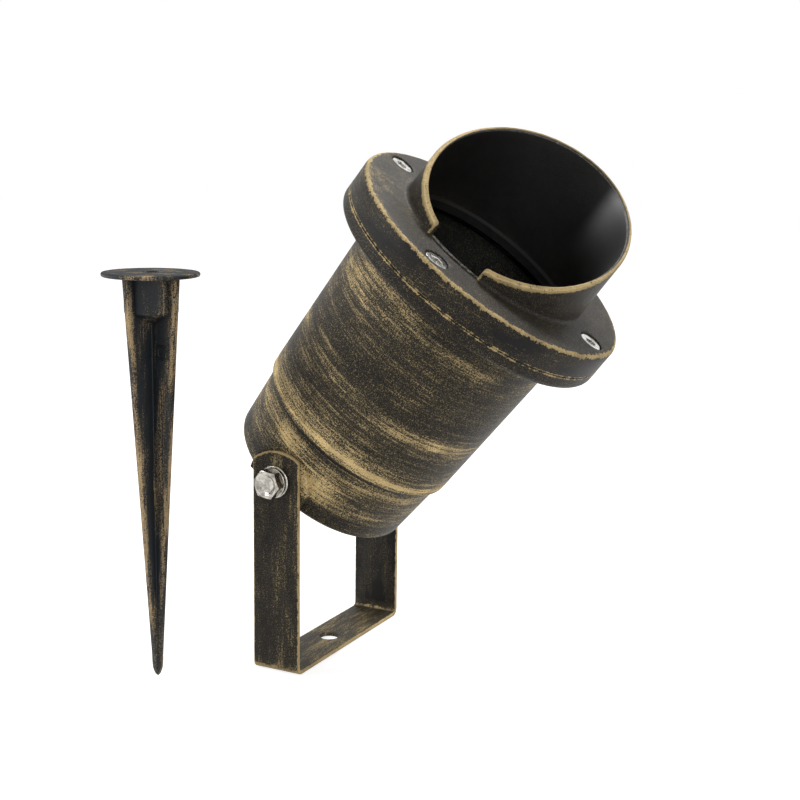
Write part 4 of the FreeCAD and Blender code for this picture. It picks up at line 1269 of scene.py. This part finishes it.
class SPOTLIGHT_OT_spike(PieceOperator, bpy.types.Operator):
    """Model the ground spike: ribs, boss, disc and mould marks"""
    bl_idname = "spotlight.spike"
    bl_label = "Ground Spike"

    def build(self, sizes, colours):
        base = Matrix.Translation((SPIKE_PLACE.x, SPIKE_PLACE.y, 0))
        base = base @ Matrix.Rotation(SPIKE_TURN, 4, "Z")
        points, faces = skin(rib_rings(sizes))
        spike = make_object("ground_spike", [(points, faces, base)], 40.0)
        turned = base @ Matrix.Rotation(TOOL_TURN, 4, "Z")
        tools = [make_object("head of the spike", [(*skin(spike_head_rings()), turned)])]
        tools.extend(mark_tool(base, height, sizes) for height in MARK_HEIGHTS)
        apply_boolean(spike, tools, "UNION")
        hole = make_object("bolt hole tool", [(*skin(bolt_hole_rings()), turned)])
        apply_boolean(spike, [hole], "DIFFERENCE")
        shade(spike.data, 24.0)
        place_piece(spike, "spike", ["spike"], spike_finish(colours))


SPIKE_TURN = math.radians(37.5)
DISC_RADIUS = 17.95 * MM
DISC_THICKNESS = 1.6 * MM
RIB_HALF_TOP = 13.5 * MM
RIB_HALF_TIP = 1.6 * MM
POINT_HEIGHT = 3.0 * MM
POINT_HALF = 0.45 * MM
BOSS_RADIUS = 9.9 * MM
BOSS_HEIGHT = 13.0 * MM
BOSS_CONE = 5.0 * MM
RIB_LEVELS = 60
RIB_GROWTH = 0.0795
MARK_HEIGHTS = (70.0 * MM, 126.0 * MM)
MARK_RADIUS = 2.6 * MM
MARK_PLACE = 0.6


def rib_half_width(height):
    """How far the ribs reach from the axis at a height."""
    if height < POINT_HEIGHT:
        return POINT_HALF + (RIB_HALF_TIP - POINT_HALF) * height / POINT_HEIGHT
    share = (height - POINT_HEIGHT) / (SPIKE_TOP - DISC_THICKNESS - POINT_HEIGHT)
    return RIB_HALF_TIP + (RIB_HALF_TOP - RIB_HALF_TIP) * share


def rib_ring(height, sizes):
    """Cross-shaped outline at a height, with rounded tips and roots."""
    reach = rib_half_width(height)
    half = min(sizes.rib_thickness / 2, reach * 0.72)
    tip = min(sizes.rib_edge, half * 0.9)
    root = min(sizes.rib_root, (reach - half) * 0.6)
    quarter = []
    for start, end, centre in ((-90, 0, (reach - tip, -half + tip)), (0, 90, (reach - tip, half - tip))):
        quarter.extend(arc_points(centre, tip, start, end, 3))
    quarter.extend(arc_points((half + root, half + root), root, 270, 180, 4))
    ring = []
    for turn in range(4):
        angle = math.radians(45 + 90 * turn)
        for x, y in quarter:
            ring.append(Vector((x * math.cos(angle) - y * math.sin(angle),
                                x * math.sin(angle) + y * math.cos(angle), height)))
    return ring


def rib_rings(sizes):
    top = SPIKE_TOP - DISC_THICKNESS / 2
    rings = [[Vector((0, 0, 0))]]
    for index in range(1, RIB_LEVELS + 1):
        rings.append(rib_ring(top * (index / RIB_LEVELS) ** 1.25, sizes))
    rings.append([Vector((0, 0, top))])
    return rings


def spike_head_rings():
    """Disc and boss, from the tip of the boss's cone to the top of the disc."""
    under = SPIKE_TOP - DISC_THICKNESS
    boss_low = under - BOSS_HEIGHT
    edge = 0.7 * MM
    outline = [(0, boss_low - BOSS_CONE)]
    outline.append((BOSS_RADIUS - 0.5 * MM, boss_low - 0.5 * MM))
    outline.extend(arc_points((BOSS_RADIUS - 0.6 * MM, boss_low + 0.3 * MM), 0.6 * MM, -40, 0, 3))
    outline.append((BOSS_RADIUS, under - 1.2 * MM))
    outline.extend(arc_points((BOSS_RADIUS + 1.0 * MM, under - 1.0 * MM), 1.0 * MM, 180, 90, 4))
    outline.append(((BOSS_RADIUS + 1.0 * MM + DISC_RADIUS) / 2, under))
    outline.extend(arc_points((DISC_RADIUS - edge, under + edge), edge, -90, 0, 4))
    outline.extend(arc_points((DISC_RADIUS - edge, SPIKE_TOP - edge), edge, 0, 90, 4))
    outline.append((DISC_RADIUS / 2, SPIKE_TOP))
    outline.append((0, SPIKE_TOP))
    return turned_rings(outline, even_angles(96))


def bolt_hole_rings():
    low = SPIKE_TOP - 14 * MM
    above = SPIKE_TOP + 1 * MM
    outline = [(0, low - 1.2 * MM), (3.0 * MM, low), (3.0 * MM, SPIKE_TOP - 0.4 * MM),
               (3.4 * MM, SPIKE_TOP + 0.01 * MM), (3.4 * MM, above), (0, above)]
    return turned_rings(outline, even_angles(32))


def mark_tool(base, height, sizes):
    """Low ring left by the mould on the side of one rib."""
    angle = math.radians(-45)
    side = Vector((math.sin(angle), -math.cos(angle), 0))
    reach = rib_half_width(height)
    centre = Vector((math.cos(angle) * reach, math.sin(angle) * reach, 0)) * MARK_PLACE
    centre.z = height
    centre += side * (sizes.rib_thickness / 2)
    major = min(MARK_RADIUS, reach * 0.34)
    minor = 0.28 * MM
    rings = []
    for turn in even_angles(28):
        rings.append([Vector(((major + minor * math.cos(a)) * math.cos(turn),
                              (major + minor * math.cos(a)) * math.sin(turn),
                              minor * math.sin(a))) for a in even_angles(6)])
    matrix = Matrix.Translation(centre) @ side.to_track_quat("Z", "Y").to_matrix().to_4x4()
    return make_object("mould mark", [(*skin(rings, closed=True), base @ matrix)])


class SPOTLIGHT_OT_cable_gland(PieceOperator, bpy.types.Operator):
    """Finish the cable gland in the rear wall"""
    bl_idname = "spotlight.cable_gland"
    bl_label = "Cable Gland"

    def build(self, sizes, colours):
        plastic = moulded_finish("gland plastic", colours.gland, 0.38, 2.2, 0.05 * MM)
        rubber = moulded_finish("seal rubber", colours.rubber, 0.62, 2.5, 0.05 * MM)
        for node in ("gland_body", "gland_nut", "gland_locknut"):
            finish_node(node, plastic)
        for node in ("gland_seal", "gland_gasket"):
            finish_node(node, rubber)


class SPOTLIGHT_OT_lampholder(PieceOperator, bpy.types.Operator):
    """Finish the lampholder, its stand, its contacts and its screws"""
    bl_idname = "spotlight.lampholder"
    bl_label = "Lampholder"

    def build(self, sizes, colours):
        zinc = metal_finish("zinc plate", colours.zinc, 0.26, 0.02 * MM)
        finish_node("lampholder", moulded_finish("lampholder ceramic", colours.ceramic, 0.14,
                                                 1.2, 0.02 * MM, Coat_Weight=0.6))
        finish_node("lampholder_contacts", metal_finish("contact brass", colours.brass, 0.22,
                                                        0.01 * MM))
        for node in ("lampholder_screws", "lampholder_stand", "stand_screws"):
            finish_node(node, zinc)


class SPOTLIGHT_OT_wiring(PieceOperator, bpy.types.Operator):
    """Finish the terminal block, the earth point and the wires"""
    bl_idname = "spotlight.wiring"
    bl_label = "Wiring"

    def build(self, sizes, colours):
        screw = metal_finish("terminal screw zinc", colours.zinc, 0.24, 0.02 * MM)
        finish_node("terminal_block", moulded_finish("terminal block plastic", colours.block,
                                                     0.42, 2.0, 0.04 * MM))
        for node in ("terminal_screws", "block_screw", "earth_screw"):
            finish_node(node, screw)
        finish_node("earth_tag", metal_finish("earth tag brass", colours.brass, 0.25, 0.01 * MM))
        finish_node("live_wire", moulded_finish("live insulation", colours.live, 0.35, 3.0,
                                                0.03 * MM))
        finish_node("neutral_wire", moulded_finish("neutral insulation", colours.neutral, 0.35,
                                                   3.0, 0.03 * MM))
        finish_node("earth_wire", striped_wire_finish("earth insulation", colours.earth,
                                                      colours.earth_stripe))


OPERATORS = (
    SPOTLIGHT_OT_stage, SPOTLIGHT_OT_housing, SPOTLIGHT_OT_front_cap, SPOTLIGHT_OT_cap_screws,
    SPOTLIGHT_OT_lens, SPOTLIGHT_OT_bracket, SPOTLIGHT_OT_tilt_bolts, SPOTLIGHT_OT_spike,
    SPOTLIGHT_OT_cable_gland, SPOTLIGHT_OT_lampholder, SPOTLIGHT_OT_wiring,
)


class SPOTLIGHT_PT_panel(bpy.types.Panel):
    """Lists the pieces, sizes and colours of the spotlight"""
    bl_idname = "SPOTLIGHT_PT_panel"
    bl_label = "Garden Spike Spotlight"
    bl_space_type = "VIEW_3D"
    bl_region_type = "UI"
    bl_category = "Spotlight"

    def draw(self, context):
        for operator in OPERATORS:
            self.layout.operator(operator.bl_idname)
        for group in (context.scene.spotlight_sizes, context.scene.spotlight_colours):
            box = self.layout.box()
            for name in group.bl_rna.properties.keys():
                if name not in ("rna_type", "name"):
                    box.prop(group, name)


CLASSES = (SpotlightSizes, SpotlightColours, *OPERATORS, SPOTLIGHT_PT_panel)


def register():
    for entry in CLASSES:
        bpy.utils.register_class(entry)
    bpy.types.Scene.spotlight_sizes = PointerProperty(type=SpotlightSizes)
    bpy.types.Scene.spotlight_colours = PointerProperty(type=SpotlightColours)


def unregister():
    del bpy.types.Scene.spotlight_colours
    del bpy.types.Scene.spotlight_sizes
    for entry in reversed(CLASSES):
        bpy.utils.unregister_class(entry)


def main():
    register()
    bpy.ops.spotlight.stage()
    bpy.ops.spotlight.housing()
    bpy.ops.spotlight.front_cap()
    bpy.ops.spotlight.cap_screws()
    bpy.ops.spotlight.lens()
    bpy.ops.spotlight.bracket()
    bpy.ops.spotlight.tilt_bolts()
    bpy.ops.spotlight.spike()
    bpy.ops.spotlight.cable_gland()
    bpy.ops.spotlight.lampholder()
    bpy.ops.spotlight.wiring()


if __name__ == "__main__":
    main()
